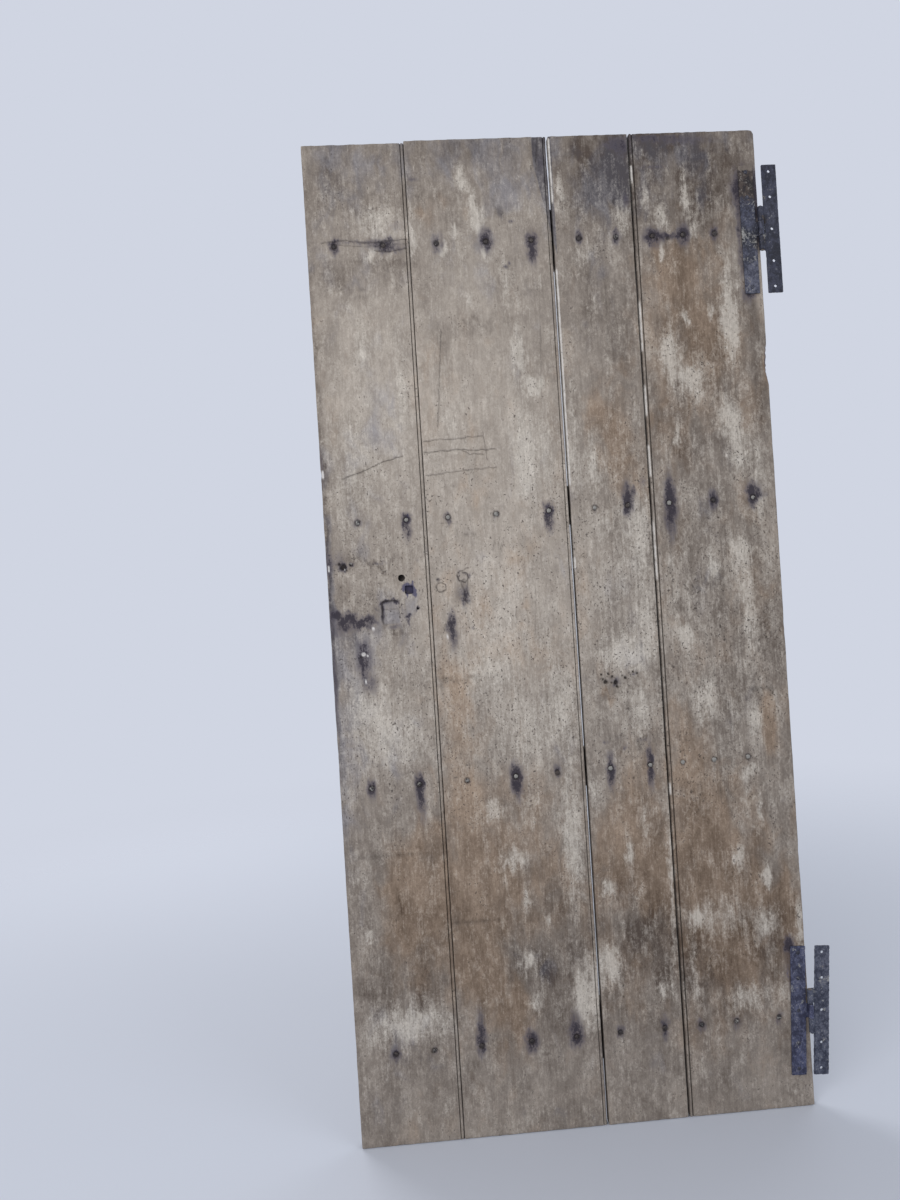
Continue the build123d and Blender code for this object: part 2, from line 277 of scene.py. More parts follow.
# Lighter (+) and darker (-) stretches of the boards
tone_patches = (
    (100, 480, 130, 300, 0.22), (340, 520, 180, 330, 0.26), (340, 960, 180, 260, 0.28),
    (100, 1150, 120, 160, 0.12), (572, 980, 80, 190, 0.12), (450, 1620, 640, 260, -0.15),
    (740, 40, 200, 150, -0.26), (340, 20, 190, 60, -0.12), (572, 60, 100, 130, -0.16),
    (638, 32, 20, 26, -0.3), (700, 12, 50, 14, -0.22), (820, 90, 60, 70, -0.06), (50, 70, 30, 50, -0.14),
    (165, 250, 36, 26, -0.16), (80, 250, 90, 20, -0.12), (386, 145, 10, 17, -0.3),
    (383, 1657, 22, 26, -0.16), (30, 265, 60, 16, -0.12), (120, 290, 100, 14, -0.08),
    (320, 370, 110, 16, -0.1), (785, 560, 130, 300, -0.07), (40, 1000, 54, 60, -0.12),
    (785, 1500, 120, 240, -0.06), (706, 1350, 26, 40, -0.16), (890, 500, 16, 190, -0.12),
    (600, 540, 40, 130, -0.08), (556, 620, 12, 200, -0.06), (240, 1150, 44, 90, -0.06),
    (60, 832, 70, 12, -0.16), (60, 905, 60, 30, -0.12), (330, 385, 80, 12, -0.1), (560, 330, 70, 60, -0.08),
    (720, 640, 60, 30, -0.07), (884, 990, 24, 60, -0.2), (288, 1312, 46, 10, -0.12),
    (122, 1409, 62, 4, -0.12), (590, 1210, 40, 6, -0.16), (616, 857, 12, 22, -0.24),
    (700, 560, 40, 60, -0.08), (572, 930, 15, 20, -0.26), (2, 900, 7, 360, -0.34), (2, 500, 5, 280, -0.18),
    (128, 960, 30, 12, -0.24), (160, 1020, 8, 24, -0.14), (200, 1074, 110, 3, -0.16),
    (140, 240, 70, 5, -0.16), (60, 286, 60, 4, -0.14), (330, 360, 90, 4, -0.16), (104, 832, 40, 5, -0.28),
    (266, 900, 12, 26, -0.26), (596, 1605, 54, 56, -0.18), (905, 300, 8, 50, 0.12),
    (575, 1000, 90, 330, -0.06), (785, 940, 120, 400, -0.06), (100, 70, 110, 90, -0.09),
    (780, 380, 130, 200, -0.05), (570, 380, 90, 220, -0.07), (100, 1480, 110, 200, -0.05),
    (340, 1130, 130, 240, -0.03), (790, 1660, 130, 140, -0.1), (800, 130, 110, 110, -0.08),
    (590, 1680, 70, 120, -0.06), (140, 60, 60, 8, 0.1), (100, 130, 90, 6, -0.12), (240, 110, 60, 8, -0.08),
    (430, 300, 40, 6, -0.12), (698, 954, 19, 20, -0.18), (100, 1510, 5, 30, -0.16),
    (106, 1573, 10, 12, -0.12), (540, 1124, 15, 16, -0.12), (90, 1680, 90, 30, -0.1),
    (600, 1320, 30, 60, -0.08), (866, 1590, 14, 60, -0.12), (730, 1700, 40, 60, -0.14),
    (640, 110, 20, 60, -0.14), (560, 40, 40, 20, -0.1), (346, 1290, 8, 34, -0.16),
    (690, 780, 12, 40, -0.12), (870, 745, 18, 14, -0.16), (790, 450, 30, 60, -0.1),
    (220, 300, 20, 80, -0.08), (180, 1500, 24, 100, -0.06),
)

# Warmer, browner (+) and cooler, greyer (-) stretches
warmth_patches = (
    (450, 20, 560, 100, -0.34), (120, 90, 110, 60, -0.16), (600, 200, 70, 140, -0.36),
    (60, 1000, 60, 80, -0.4), (240, 1130, 50, 84, 0.42), (780, 400, 100, 160, 0.5),
    (850, 820, 60, 330, 0.24), (864, 1200, 16, 60, 1.1), (122, 1500, 66, 110, 0.7),
    (590, 620, 50, 100, 0.6), (700, 640, 44, 200, 0.34), (280, 1400, 100, 190, 0.6),
    (580, 1400, 60, 100, 0.8), (160, 905, 26, 34, -0.4), (320, 250, 120, 90, -0.1),
    (740, 80, 90, 60, -0.16), (720, 1430, 70, 130, 0.7), (885, 1590, 18, 60, 1.1),
    (250, 1640, 60, 120, 0.6), (20, 1400, 40, 300, -0.4), (250, 150, 40, 50, 0.3), (909, 490, 5, 30, 0.9),
    (620, 400, 40, 160, 0.16), (120, 930, 18, 24, -0.1), (480, 150, 14, 90, -0.4), (345, 205, 30, 30, -0.2),
    (700, 1250, 60, 100, 0.4), (500, 60, 60, 60, 0.26), (300, 920, 140, 140, 0.2), (720, 260, 60, 60, 0.6),
    (4, 980, 8, 300, -0.6), (260, 890, 20, 40, -0.3), (100, 600, 90, 400, -0.14),
    (100, 1180, 90, 120, -0.2), (450, 1500, 640, 200, 0.22), (370, 1650, 60, 50, -0.5),
    (100, 1740, 90, 40, -0.4), (590, 1600, 50, 50, -0.3), (770, 1660, 120, 140, 0.5),
    (560, 1700, 60, 100, 0.3), (330, 1740, 50, 70, 0.4), (106, 1573, 12, 14, 0.8), (540, 1124, 18, 18, 0.6),
    (820, 640, 30, 60, -0.2), (590, 1040, 50, 30, -0.5), (860, 100, 40, 50, 0.2),
)

# Black patches that aren't round a nail: across, down, half width, half height, strength
black_patches = (
    (889, 114, 26, 36, 1.0), (884, 180, 16, 60, 0.7), (882, 268, 15, 34, 0.5), (883, 332, 13, 18, 0.8),
    (867, 124, 7, 24, 0.4), (869, 230, 4, 60, 0.4), (908, 150, 7, 56, 0.9), (909, 225, 5, 16, 0.8),
    (724, 207, 34, 5, 0.6), (879, 1650, 9, 14, 1.1), (884, 1700, 18, 60, 0.3), (876, 738, 16, 9, 0.45),
    (238, 958, 7, 24, 0.85), (241, 988, 9, 28, 0.55), (228, 967, 4, 8, 0.45), (31, 837, 8, 8, 1.0),
    (49, 833, 3.4, 3.4, 1.0), (20, 818, 20, 16, 0.34), (100, 832, 22, 3.5, 0.4), (177, 832, 5, 4, 0.3),
    (61, 1016, 17, 32, 0.32), (58, 1036, 3, 24, 0.6), (60, 996, 9, 10, 0.5), (72, 1074, 14, 16, 0.4),
    (58, 1014, 26, 36, 0.2), (14, 931, 9, 7, 0.85), (41, 938, 10, 6, 0.85), (27, 941, 9, 5, 0.65),
    (57, 946, 10, 5, 0.75), (36, 926, 5, 3, 0.5), (58, 948, 9, 4, 0.9), (75, 939, 10, 6, 0.8),
    (92, 923, 4, 3, 0.5), (46, 948, 44, 14, 0.22), (70, 940, 4, 3, 0.6), (64, 954, 16, 4, 0.55),
    # Among these, the patches at 103 to 131 across and 906 to 928 down, along the top and left edges of the
    # old latch plate's recess, are painted shadow of those edges
    (30, 956, 18, 7, 0.4), (109, 909, 8, 4.0, 1.0), (131, 909, 5, 4.0, 1.0), (103, 928, 3.4, 19, 0.95),
    (120, 906, 14, 2.4, 0.7), (124, 958, 14, 6, 0.5), (154, 938, 5, 5, 1.0), (155, 950, 2.8, 11, 0.65),
    (174, 927, 3.4, 3.4, 1.0), (10, 966, 12, 6, 0.4), (620, 716, 6, 10, 0.6), (271, 904, 8, 22, 0.7),
    (258, 864, 4, 12, 0.4), (264, 918, 5, 8, 0.5), (279, 868, 4, 5, 0.6), (256, 900, 8, 20, 0.25),
    (640, 130, 7, 16, 0.5), (217, 872, 6, 5, 0.42), (272, 862, 9, 3, 0.4), (150, 202, 56, 10, 0.34),
    (168, 214, 30, 7, 0.4), (92, 196, 70, 4, 0.28), (445, 238, 8, 22, 0.4), (216, 76, 11, 3, 0.6),
    (404, 167, 8, 2, 0.7), (394, 254, 12, 2.5, 0.7), (700, 68, 34, 3, 0.5), (606, 1215, 16, 2.5, 0.45),
    (560, 1212, 14, 2.5, 0.4), (638, 24, 16, 22, 0.6), (474, 56, 8, 30, 0.35), (909, 470, 3, 34, 0.7),
    (178, 168, 22, 14, 0.28), (640, 700, 7, 12, 0.35), (552, 1204, 12, 4, 0.3), (700, 8, 60, 5, 0.6),
    (770, 16, 70, 8, 0.45), (500, 42, 18, 2, 0.5), (3, 830, 8, 30, 0.5), (2, 640, 4, 40, 0.4),
    (2, 1080, 5, 90, 0.5), (386, 146, 8, 15, 0.3), (278, 973, 4, 5, 0.4), (724, 212, 12, 7, 0.35),
    (610, 20, 22, 10, 0.4), (24, 948, 7, 5, 0.6), (48, 931, 5, 4, 0.5), (84, 948, 8, 5, 0.6),
    (6, 924, 4, 8, 0.6), (142, 922, 2.4, 12, 0.45), (558, 1092, 30, 12, 0.3), (600, 1082, 12, 6, 0.35),
    (560, 1100, 6, 6, 0.5), (64, 1044, 20, 40, 0.22), (22, 940, 30, 24, 0.28), (700, 745, 10, 46, 0.45),
    (866, 722, 22, 14, 0.4), (350, 1296, 8, 30, 0.45), (160, 1320, 8, 40, 0.36), (570, 1230, 10, 6, 0.45),
    (530, 1216, 8, 3, 0.5),
)

# Blue paint, off an older coat: across, down, half width, half height, strength
blue_patches = (
    (158.5, 888, 12, 11, 1.5), (165, 899, 8, 8, 0.6), (152, 876, 6, 5, 0.5), (883, 318, 14, 34, 0.4),
    (882, 262, 13, 24, 0.4), (876, 1720, 5, 44, 0.5), (4, 980, 6, 60, 0.3), (909, 1700, 6, 40, 0.4),
    (48, 934, 30, 12, 0.2), (163, 752, 8, 18, 0.45), (447, 752, 8, 22, 0.45), (334, 752, 8, 16, 0.25),
    (61, 1018, 14, 30, 0.25),
)

# White plugs and splashes: across, down, half width, half height
white_spots = (
    (61, 1010, 4.4, 4.0), (68.5, 1013, 1.8, 2.4), (83, 960, 2.6, 3.0), (2.5, 652, 2.8, 9.0),
    (228, 987, 2.4, 3.6), (62, 1063, 2.0, 1.6), (3, 838, 2.0, 7.0), (47, 830, 1.5, 1.5),
    (34, 841, 1.5, 1.3),
)

# Small holes and pits: across, down, radius, depth
pits = (
    (31, 836, 6.5, 4.0), (47, 832, 3.4, 4.5), (24, 830, 3.0, 2.5), (38, 843, 2.6, 2.0),
    (531, 1082, 2.6, 2.5), (539, 1096, 4.2, 4.0), (546, 1080, 2.4, 2.5), (560, 1099, 4.8, 4.5),
    (553, 1087, 2.6, 3.0), (580, 1090, 3.2, 3.0), (596, 1079, 2.4, 2.5), (604, 1083, 2.0, 2.0),
    (571, 1078, 1.8, 2.0), (217, 872, 3.6, 1.2), (56, 1016, 2.4, 1.6), (386, 146, 8.0, 0.7),
    (616, 133, 3.5, 1.6), (628, 150, 3.2, 1.6), (722, 212, 4.2, 2.0), (700, 214, 2.4, 2.0),
    (534, 1090, 1.8, 2.0), (551, 1098, 2.2, 2.0), (562, 1107, 3.0, 3.0), (588, 1082, 1.8, 2.0),
    (574, 1086, 2.0, 2.0), (542, 1210, 1.6, 1.4), (556, 1214, 2.0, 1.6), (570, 1209, 1.6, 1.4),
    (584, 1213, 1.8, 1.4), (592, 1208, 1.5, 1.4),
)

# Cracks and scratches: points (across, down), half width, depth, darkness. The darkness is painted shade in
# the groove
grooves = (
    (((28, 196), (70, 192), (120, 199), (196, 194)), 1.1, 1.6, 0.55),
    (((60, 201), (128, 206), (196, 203)), 0.9, 1.0, 0.4),
    (((132, 214), (160, 217), (196, 213)), 1.5, 2.0, 0.5),
    (((40, 662), (88, 648), (124, 632), (162, 623)), 1.1, 0.8, 0.8),
    (((204, 597), (232, 594), (262, 595), (324, 591)), 1.2, 0.7, 0.6),
    (((204, 620), (250, 617), (284, 616), (306, 620), (346, 618)), 1.2, 0.8, 0.7),
    (((282, 618), (296, 626), (322, 628)), 1.1, 0.6, 0.55),
    (((204, 664), (262, 660), (300, 657), (346, 655)), 1.2, 0.7, 0.6),
    (((253, 380), (246, 450), (240, 520), (235, 570)), 1.1, 0.8, 0.6),
    (((204, 1068), (250, 1066), (300, 1070)), 1.2, 0.5, 0.4),
    (((204, 1235), (260, 1238), (330, 1234)), 1.2, 0.5, 0.45),
    (((835, 1133), (858, 1130), (880, 1132)), 1.0, 0.6, 0.5),
    (((714, 345), (745, 330), (770, 318)), 1.4, 0.4, -0.35),
    (((486, 20), (482, 130), (485, 255)), 1.4, 1.4, 0.5), (((470, 0), (464, 46), (452, 64)), 1.2, 1.6, 0.6),
    (((211, 887), (215, 879), (224, 877), (231, 883), (231, 891), (224, 897), (215, 895), (211, 887)),
     1.1, 0.6, 0.85),
    (((254, 866), (256, 858), (266, 856), (279, 852)), 0.9, 0.8, 0.7),
    (((254, 866), (258, 876), (270, 880), (277, 872), (274, 862), (266, 860)), 1.2, 0.9, 0.95),
    (((262, 880), (268, 896), (266, 912), (272, 922)), 1.3, 1.0, 0.65),
    (((276, 878), (272, 894), (277, 908)), 1.1, 0.9, 0.6),
    (((240, 839), (262, 838), (281, 840)), 0.8, 0.4, 0.35),
    (((222, 972), (226, 962), (233, 958)), 1.0, 0.7, 0.7),
    (((108, 924), (122, 925), (134, 923)), 0.7, 0.3, 0.4),
    (((107, 934), (120, 935), (135, 934)), 0.7, 0.3, 0.35),
    (((110, 1074), (200, 1073), (300, 1076)), 1.0, 0.3, 0.3),
    (((324, 585), (326, 612), (329, 640)), 0.9, 0.5, 0.6), (((336, 800), (329, 818)), 0.9, 0.6, 0.6),
    (((344, 797), (338, 812)), 0.8, 0.6, 0.55), (((353, 799), (344, 822)), 0.9, 0.6, 0.6),
    (((259, 771), (262, 790)), 0.8, 0.5, 0.45), (((264, 776), (290, 770)), 0.8, 0.5, 0.45),
    (((270, 786), (300, 784)), 0.8, 0.5, 0.4), (((20, 296), (110, 291)), 1.0, 0.4, 0.35),
    (((60, 307), (180, 300)), 1.0, 0.4, 0.3), (((452, 380), (446, 520)), 0.9, 0.5, 0.35),
    (((410, 900), (402, 1010)), 0.9, 0.4, 0.35), (((590, 300), (586, 420)), 0.9, 0.4, 0.35),
    (((690, 760), (686, 940)), 0.9, 0.5, 0.35), (((206, 1521), (240, 1523), (262, 1521)), 1.2, 0.3, 0.34),
    (((206, 1551), (250, 1552), (311, 1550)), 1.3, 0.3, 0.4),
    (((206, 1582), (260, 1583), (320, 1581)), 1.2, 0.3, 0.34),
    (((28, 1408), (90, 1409), (150, 1408)), 1.4, 0.3, 0.26), (((206, 686), (260, 688)), 0.8, 0.3, 0.4),
    (((226, 760), (270, 764)), 0.8, 0.3, 0.35),
)

# Crust, pale lumps, worn paint and dirt on each hinge leaf, each a list of
# (across, down, half width, half height, strength)
leaf_zones = {
    "upper_door_leaf": (
        ((890, 104, 40, 40, 1.2), (905, 230, 16, 26, 0.5)),
        ((880, 100, 14, 10, 0.34), (898, 112, 10, 10, 0.28), (888, 149, 26, 5, 0.42),
         (880, 210, 12, 9, 0.4), (898, 224, 22, 18, 0.4), (882, 262, 9, 7, 0.5),
         (896, 262, 5, 6, 0.5), (884, 322, 9, 8, 0.45), (905, 250, 6, 14, 0.3),
         # The pale strip at 903 across and 175 down, on the knuckle's side, is a painted highlight
         (876, 212, 5, 18, 0.34), (903, 175, 3, 24, 0.3)),
        ((884, 300, 40, 50, 1.0), (890, 180, 30, 30, 0.25)),
        ((890, 66, 40, 14, 1.6),),
    ),
    "upper_frame_leaf": (
        ((921, 184, 8, 7, 1.2), (918, 226, 8, 14, 0.5)),
        ((917, 216, 7, 10, 0.5), (940, 177, 9, 6, 0.28), (937, 92, 5, 5, 0.3), (920, 150, 2, 18, 0.45)),
        ((940, 180, 14, 30, 0.35),),
        (),
    ),
    "lower_door_leaf": (
        ((870, 1900, 30, 20, 0.4),),
        ((886, 1660, 6, 5, 0.6), (894, 1695, 5, 5, 0.65), (880, 1735, 6, 16, 0.4),
         (897, 1767, 5, 5, 0.7), (910, 1670, 4, 12, 0.35), (908, 1752, 6, 12, 0.45),
         (876, 1780, 6, 14, 0.4), (884, 1850, 10, 10, 0.35)),
        ((893, 1700, 14, 50, 0.5), (880, 1800, 20, 60, 0.4)),
        (),
    ),
    "lower_frame_leaf": (
        ((950, 1900, 20, 16, 0.4),),
        ((951, 1724, 12, 8, 0.5), (942, 1787, 6, 5, 0.65), (938, 1735, 3, 26, 0.4),
         (958, 1745, 3, 24, 0.4), (922, 1748, 7, 10, 0.4), (938, 1845, 5, 4, 0.5),
         (945, 1885, 6, 8, 0.4), (962, 1693, 3, 12, 0.3)),
        ((950, 1700, 20, 60, 0.7), (940, 1820, 20, 60, 0.6)),
        (),
    ),
}

# Lengths of the open joints whose inner faces are painted white, from and to in millimetres down. The white
# is partly limewash and partly painted light coming through the joint from behind; between the lengths the
# ledges' painted shadow leaves them dark
white_and_lit_joints = {
    "narrow_board": ((-2, 134), (262, 702), (842, 872)),
    "hinge_side_board": ((60, 102), (332, 442), (502, 572), (622, 694), (776, 900), (1306, 1332)),
}

# Chips in a board's edges: board, side, middle down, half length, depth
edge_chips = (
    ("latch_side_board", -1, 652, 8, 1.6), ("latch_side_board", -1, 1220, 30, 0.8),
    ("hinge_side_board", 1, 470, 34, 2.6), ("hinge_side_board", 1, 446, 9, 1.6),
    ("hinge_side_board", 1, 1010, 22, 1.0), ("hinge_side_board", 1, 1480, 30, 0.9),
    ("wide_board", 1, 44, 34, 0.8), ("narrow_board", -1, 90, 50, 0.8),
)


def smooth(t):
    """Goes smoothly from 0 to 1 as t does."""
    t = np.clip(t, 0, 1)
    return t * t * (3 - 2 * t)


def lattice(column, row, seed):
    """Repeatable random numbers from 0 to 1 at whole-numbered places."""
    mask = np.uint64(0xFFFFFFFF)
    mixed = column.astype(np.int64).astype(np.uint64) * np.uint64(374761393)
    mixed += row.astype(np.int64).astype(np.uint64) * np.uint64(668265263)
    mixed = (mixed + np.uint64(seed * 974711)) & mask
    mixed = ((mixed ^ (mixed >> np.uint64(13))) * np.uint64(1274126177)) & mask
    mixed ^= mixed >> np.uint64(16)
    return (mixed & np.uint64(0xFFFFFF)).astype(float) / 0xFFFFFF


def slope_noise(x, y, seed):
    """Gradient noise of about -1 to 1."""
    column, row = np.floor(x), np.floor(y)
    right, down = x - column, y - row
    total = 0
    for step_x in (0, 1):
        for step_y in (0, 1):
            angle = 2 * math.pi * lattice(column + step_x, row + step_y, seed)
            slope = np.cos(angle) * (right - step_x) + np.sin(angle) * (down - step_y)
            weight_x = smooth(right) if step_x else 1 - smooth(right)
            weight_y = smooth(down) if step_y else 1 - smooth(down)
            total = total + slope * weight_x * weight_y
    return total * 1.6


def cloud(x, y, width, height, seed, octaves):
    """Several octaves of noise, whose largest spots are about width by height."""
    total, weight = 0, 1.0
    for octave in range(octaves):
        scale = 2.0 ** octave
        total = total + weight * slope_noise(x * scale / width, y * scale / height, seed + 17 * octave)
        weight *= octave_gain
    return total


def ripple(places, length, seed, octaves):
    """Noise along one line, with waves of about that length."""
    return cloud(places, places * 0, length, 1, seed, octaves)


def bend(across, down, aside, below, seed, octaves):
    """Places pushed sideways and down by two clouds, each given as push, width and height."""
    pushes = [push * cloud(across, down, width, height, seed + index, octaves)
              for index, (push, width, height) in enumerate((aside, below))]
    return across + pushes[0], down + pushes[1]


def oval(across, down, spot):
    """1 in the middle of a soft oval, falling to 0 outside it."""
    middle_across, middle_down, half_width, half_height = spot[:4]
    aside, below = (across - middle_across) / half_width, (down - middle_down) / half_height
    return np.exp(-aside ** 2 - below ** 2)


def patches(across, down, spots):
    """Soft ovals added up, each by its own strength."""
    return sum(spot[4] * oval(across, down, spot) for spot in spots)


def distance_to_line(across, down, points):
    """Distance from each place to a line through the points."""
    nearest = np.full(np.shape(across), 1e9)
    for (x0, y0), (x1, y1) in zip(points, points[1:]):
        run, fall = x1 - x0, y1 - y0
        length = math.hypot(run, fall)
        along = ((across - x0) * run + (down - y0) * fall) / length ** 2
        along = np.clip(along, 0, 1)
        nearest = np.minimum(nearest, np.hypot(across - x0 - along * run, down - y0 - along * fall))
    return nearest


def lines(start, end, step, bands=()):
    """Places from start to end, a step apart, or closer inside the bands (low, high, step)."""
    cuts = {start, end}
    for low, high, _ in bands:
        cuts.update(cut for cut in (low, high) if start < cut < end)
    cuts = sorted(cuts)
    places = [np.array([start])]
    for low, high in zip(cuts, cuts[1:]):
        middle = (low + high) / 2
        finest = min([step] + [band[2] for band in bands if band[0] < middle < band[1]])
        count = max(1, math.ceil((high - low) / finest))
        places.append(np.linspace(low, high, count + 1)[1:])
    return np.concatenate(places)


def node_points(node):
    """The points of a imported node, in millimetres."""
    return np.array([vertex.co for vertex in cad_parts[node].data.vertices]) / MM


def nail_groups(node, axis):
    """The points of each nail of a node, told apart by the gaps along one axis."""
    points = node_points(node)
    points = points[np.argsort(points[:, axis])]
    breaks = np.where(np.diff(points[:, axis]) > nail_gap)[0] + 1
    return np.split(points, breaks)


def middle_place(points):
    """Middle (x, z) of the box round some points."""
    flat = points[:, [0, 2]]
    return (flat.min(0) + flat.max(0)) / 2


def head_places(node):
    """Places (x, z) of the nail heads of a ledge's row, from the left, by their points near the face."""
    return [tuple(middle_place(nail[nail[:, 1] < near_face])) for nail in nail_groups(node, 0)]


nail_rows = [head_places(f"{ledge}_nails") for ledge in ledge_names]


def near_leaf(x, z, node, margin):
    """1 under a door leaf and its edge, 0 away from it."""
    points = node_points(node)
    back = points[np.abs(points[:, 1]) < 0.01]
    height = back[:, 2]
    plate_end = 12
    top = middle_place(back[height > height.max() - plate_end])
    foot = middle_place(back[height < height.min() + plate_end])
    along = (top - foot) / np.linalg.norm(top - foot)
    middle = (top + foot) / 2
    forward = (x - middle[0]) * along[0] + (z - middle[1]) * along[1]
    aside = (x - middle[0]) * along[1] - (z - middle[1]) * along[0]
    outside = np.maximum(np.abs(forward) - leaf_half_length, np.abs(aside) - leaf_half_width)
    return smooth(1 - outside / margin)


class Skin:
    """A closed surface: a profile's columns, repeated at stations along a board or ledge."""

    def __init__(self, profile, stations):
        self.columns = len(profile)
        self.rows = len(stations)
        shape = (self.rows, self.columns)
        self.aside = np.broadcast_to([point[0] for point in profile], shape).copy()
        self.deep = np.broadcast_to([point[1] for point in profile], shape).copy()
        self.along = np.broadcast_to(np.reshape(stations, (-1, 1)), shape).copy()
        self.kept = np.ones((self.rows - 1, self.columns), bool)
        self.walls = []
        self.extra_faces = []

    def index(self, row, column):
        """Number of the point at a row and column."""
        return row * self.columns + column

    def round_ends(self, radius):
        """Draws the profile in near both ends, as a worn arris."""
        left, right = self.aside.min(), self.aside.max()
        middle = self.deep.max() / 2
        for end in (self.along.min(), self.along.max()):
            depth = np.clip(1 - np.abs(self.along - end) / radius, 0, 1)
            inset = radius * (1 - np.sqrt(1 - depth ** 2))
            self.deep += np.sign(middle - self.deep) * inset
            near_left = np.clip(1 - (self.aside - left) / radius, 0, 1)
            near_right = np.clip(1 - (right - self.aside) / radius, 0, 1)
            self.aside += inset * (near_left - near_right)

    def rim_of(self, inside, last):
        """Drops the cells before the last column that lie inside.

        Returns the rim round them as (row, column) in order.
        """
        cells = inside[:-1, :last] & inside[1:, :last]
        cells &= inside[:-1, 1:last + 1] & inside[1:, 1:last + 1]
        self.kept[:, :last] &= ~cells
        follow = {}
        for row, column in zip(*np.nonzero(cells)):
            corners = [(row, column), (row + 1, column), (row + 1, column + 1), (row, column + 1)]
            beside = [(row, column - 1), (row + 1, column), (row, column + 1), (row - 1, column)]
            for side, (other_row, other_column) in enumerate(beside):
                if not cells[other_row, other_column]:
                    follow[corners[side]] = corners[(side + 1) % 4]
        place = next(iter(follow))
        rim = []
        while place not in rim:
            rim.append(place)
            place = follow[place]
        return rim

    def faces(self):
        """Faces of the kept cells, the two ends and whatever was added."""
        rows, columns = np.nonzero(self.kept)
        after = (columns + 1) % self.columns
        quads = np.stack([
            rows * self.columns + columns,
            (rows + 1) * self.columns + columns,
            (rows + 1) * self.columns + after,
            rows * self.columns + after,
        ], axis=1)
        start = [self.index(0, column) for column in range(self.columns)]
        end = [self.index(self.rows - 1, column) for column in reversed(range(self.columns))]
        return quads.tolist() + [start, end] + self.extra_faces


def make_mesh(name, points, faces, attributes=None, sharp=35.0):
    """A mesh object from points in millimetres, with colour attributes at its points."""
    mesh = bpy.data.meshes.new(name)
    mesh.from_pydata((np.asarray(points) * MM).tolist(), [], faces)
    for label, values in (attributes or {}).items():
        layer = mesh.color_attributes.new(name=label, type="FLOAT_COLOR", domain="POINT")
        layer.data.foreach_set("color", np.asarray(values, np.float32).ravel())
    mesh.shade_smooth()
    mesh.set_sharp_from_angle(angle=math.radians(sharp))
    piece = bpy.data.objects.new(name, mesh)
    bpy.context.scene.collection.objects.link(piece)
    return piece


def front_profile(left, right, beaded_left, beaded_right, arris):
    """Points (aside, deep) across a board's front, from its left edge to its right."""

    def edge(beaded):
        if not beaded:
            turns = np.radians((0, 30, 60, 90))
            return [(arris * (1 - math.cos(turn)), arris * (1 - math.sin(turn))) for turn in turns]
        turns = np.radians(np.linspace(0, 180, 10))
        bead = [(bead_radius * (1 - math.cos(turn)), bead_radius * (1 - math.sin(turn))) for turn in turns]
        wall = 2 * bead_radius + quirk_width
        return bead + [(wall - 0.25, bead_radius), (wall, bead_radius - 0.5), (wall, 0.5), (wall + 0.3, 0.0)]

    from_left = [(left + aside, deep) for aside, deep in edge(beaded_left)]
    from_right = [(right - aside, deep) for aside, deep in reversed(edge(beaded_right))]
    middle = [(aside, 0.0) for aside in lines(from_left[-1][0], from_right[0][0], column_step)[1:-1]]
    return from_left + middle + from_right


def board_skin(name):
    """A board's undisturbed skin, and the number of its front columns."""
    low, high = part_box(name)
    left, right, thickness = low.x / MM, high.x / MM, high.y / MM
    arris = worn_arris if name in ("latch_side_board", "hinge_side_board") else sharp_arris
    front = front_profile(left, right, *beads[name], arris)
    sides = (6.0, 11.0, 16.0, thickness - back_arris)
    backs = lines(left + back_arris, right - back_arris, back_column_step)[::-1].tolist()
    into_left, into_right = tight_joints.get(name, (0, 0))
    profile = front + [(right + into_right * (swell_from < deep < swell_to), deep) for deep in sides]
    profile += [(aside, thickness) for aside in backs]
    profile += [(left - into_left * (swell_from < deep < swell_to), deep) for deep in reversed(sides)]
    top, foot = high.z / MM, low.z / MM
    bands = [(z - nail_band, z + nail_band, fine_row_step) for row in nail_rows for x, z in row
             if left < x < right]
    bands += [(face_top - end, face_top - start, fine_row_step) for start, end in fine_bands[name]]
    ends = [0, 0.25, 0.8]
    stations = lines(foot + end_arris, top - end_arris, row_step, bands)
    foot_stations, top_stations = [foot + step for step in ends], [top - step for step in ends[::-1]]
    stations = np.concatenate([foot_stations, stations, top_stations])
    skin = Skin(profile, stations[::-1])
    return skin, len(front)


def outline_round(radius, ragged):
    """A slightly ragged circle, as a function of the angle."""
    return lambda turn: radius * (1 + ragged * (np.sin(3 * turn + 1) + 0.6 * np.sin(5 * turn + 2)))


def outline_square(half_side, ragged):
    """A square with worn corners, as a function of the angle."""
    power = 7.0

    def distance(turn):
        square = half_side * (np.abs(np.cos(turn)) ** power + np.abs(np.sin(turn)) ** power) ** (-1 / power)
        return square * (1 + ragged * np.sin(4 * turn + 0.7) + ragged * np.sin(9 * turn))

    return distance


def open_hole(skin, fronts, centre, outline, depth):
    """Sinks a hole of that outline from the front."""
    middle_x, middle_z = face_left + centre[0], face_top - centre[1]
    aside, along = skin.aside - middle_x, skin.along - middle_z
    turn = np.arctan2(along, aside)
    inside = np.hypot(aside, along) < outline(turn)
    rim = skin.rim_of(inside, fronts - 1)
    for row, column in rim:
        reach = outline(turn[row, column])
        skin.aside[row, column] = middle_x + reach * math.cos(turn[row, column])
        skin.along[row, column] = middle_z + reach * math.sin(turn[row, column])
    skin.walls.append(([skin.index(row, column) for row, column in rim], depth))


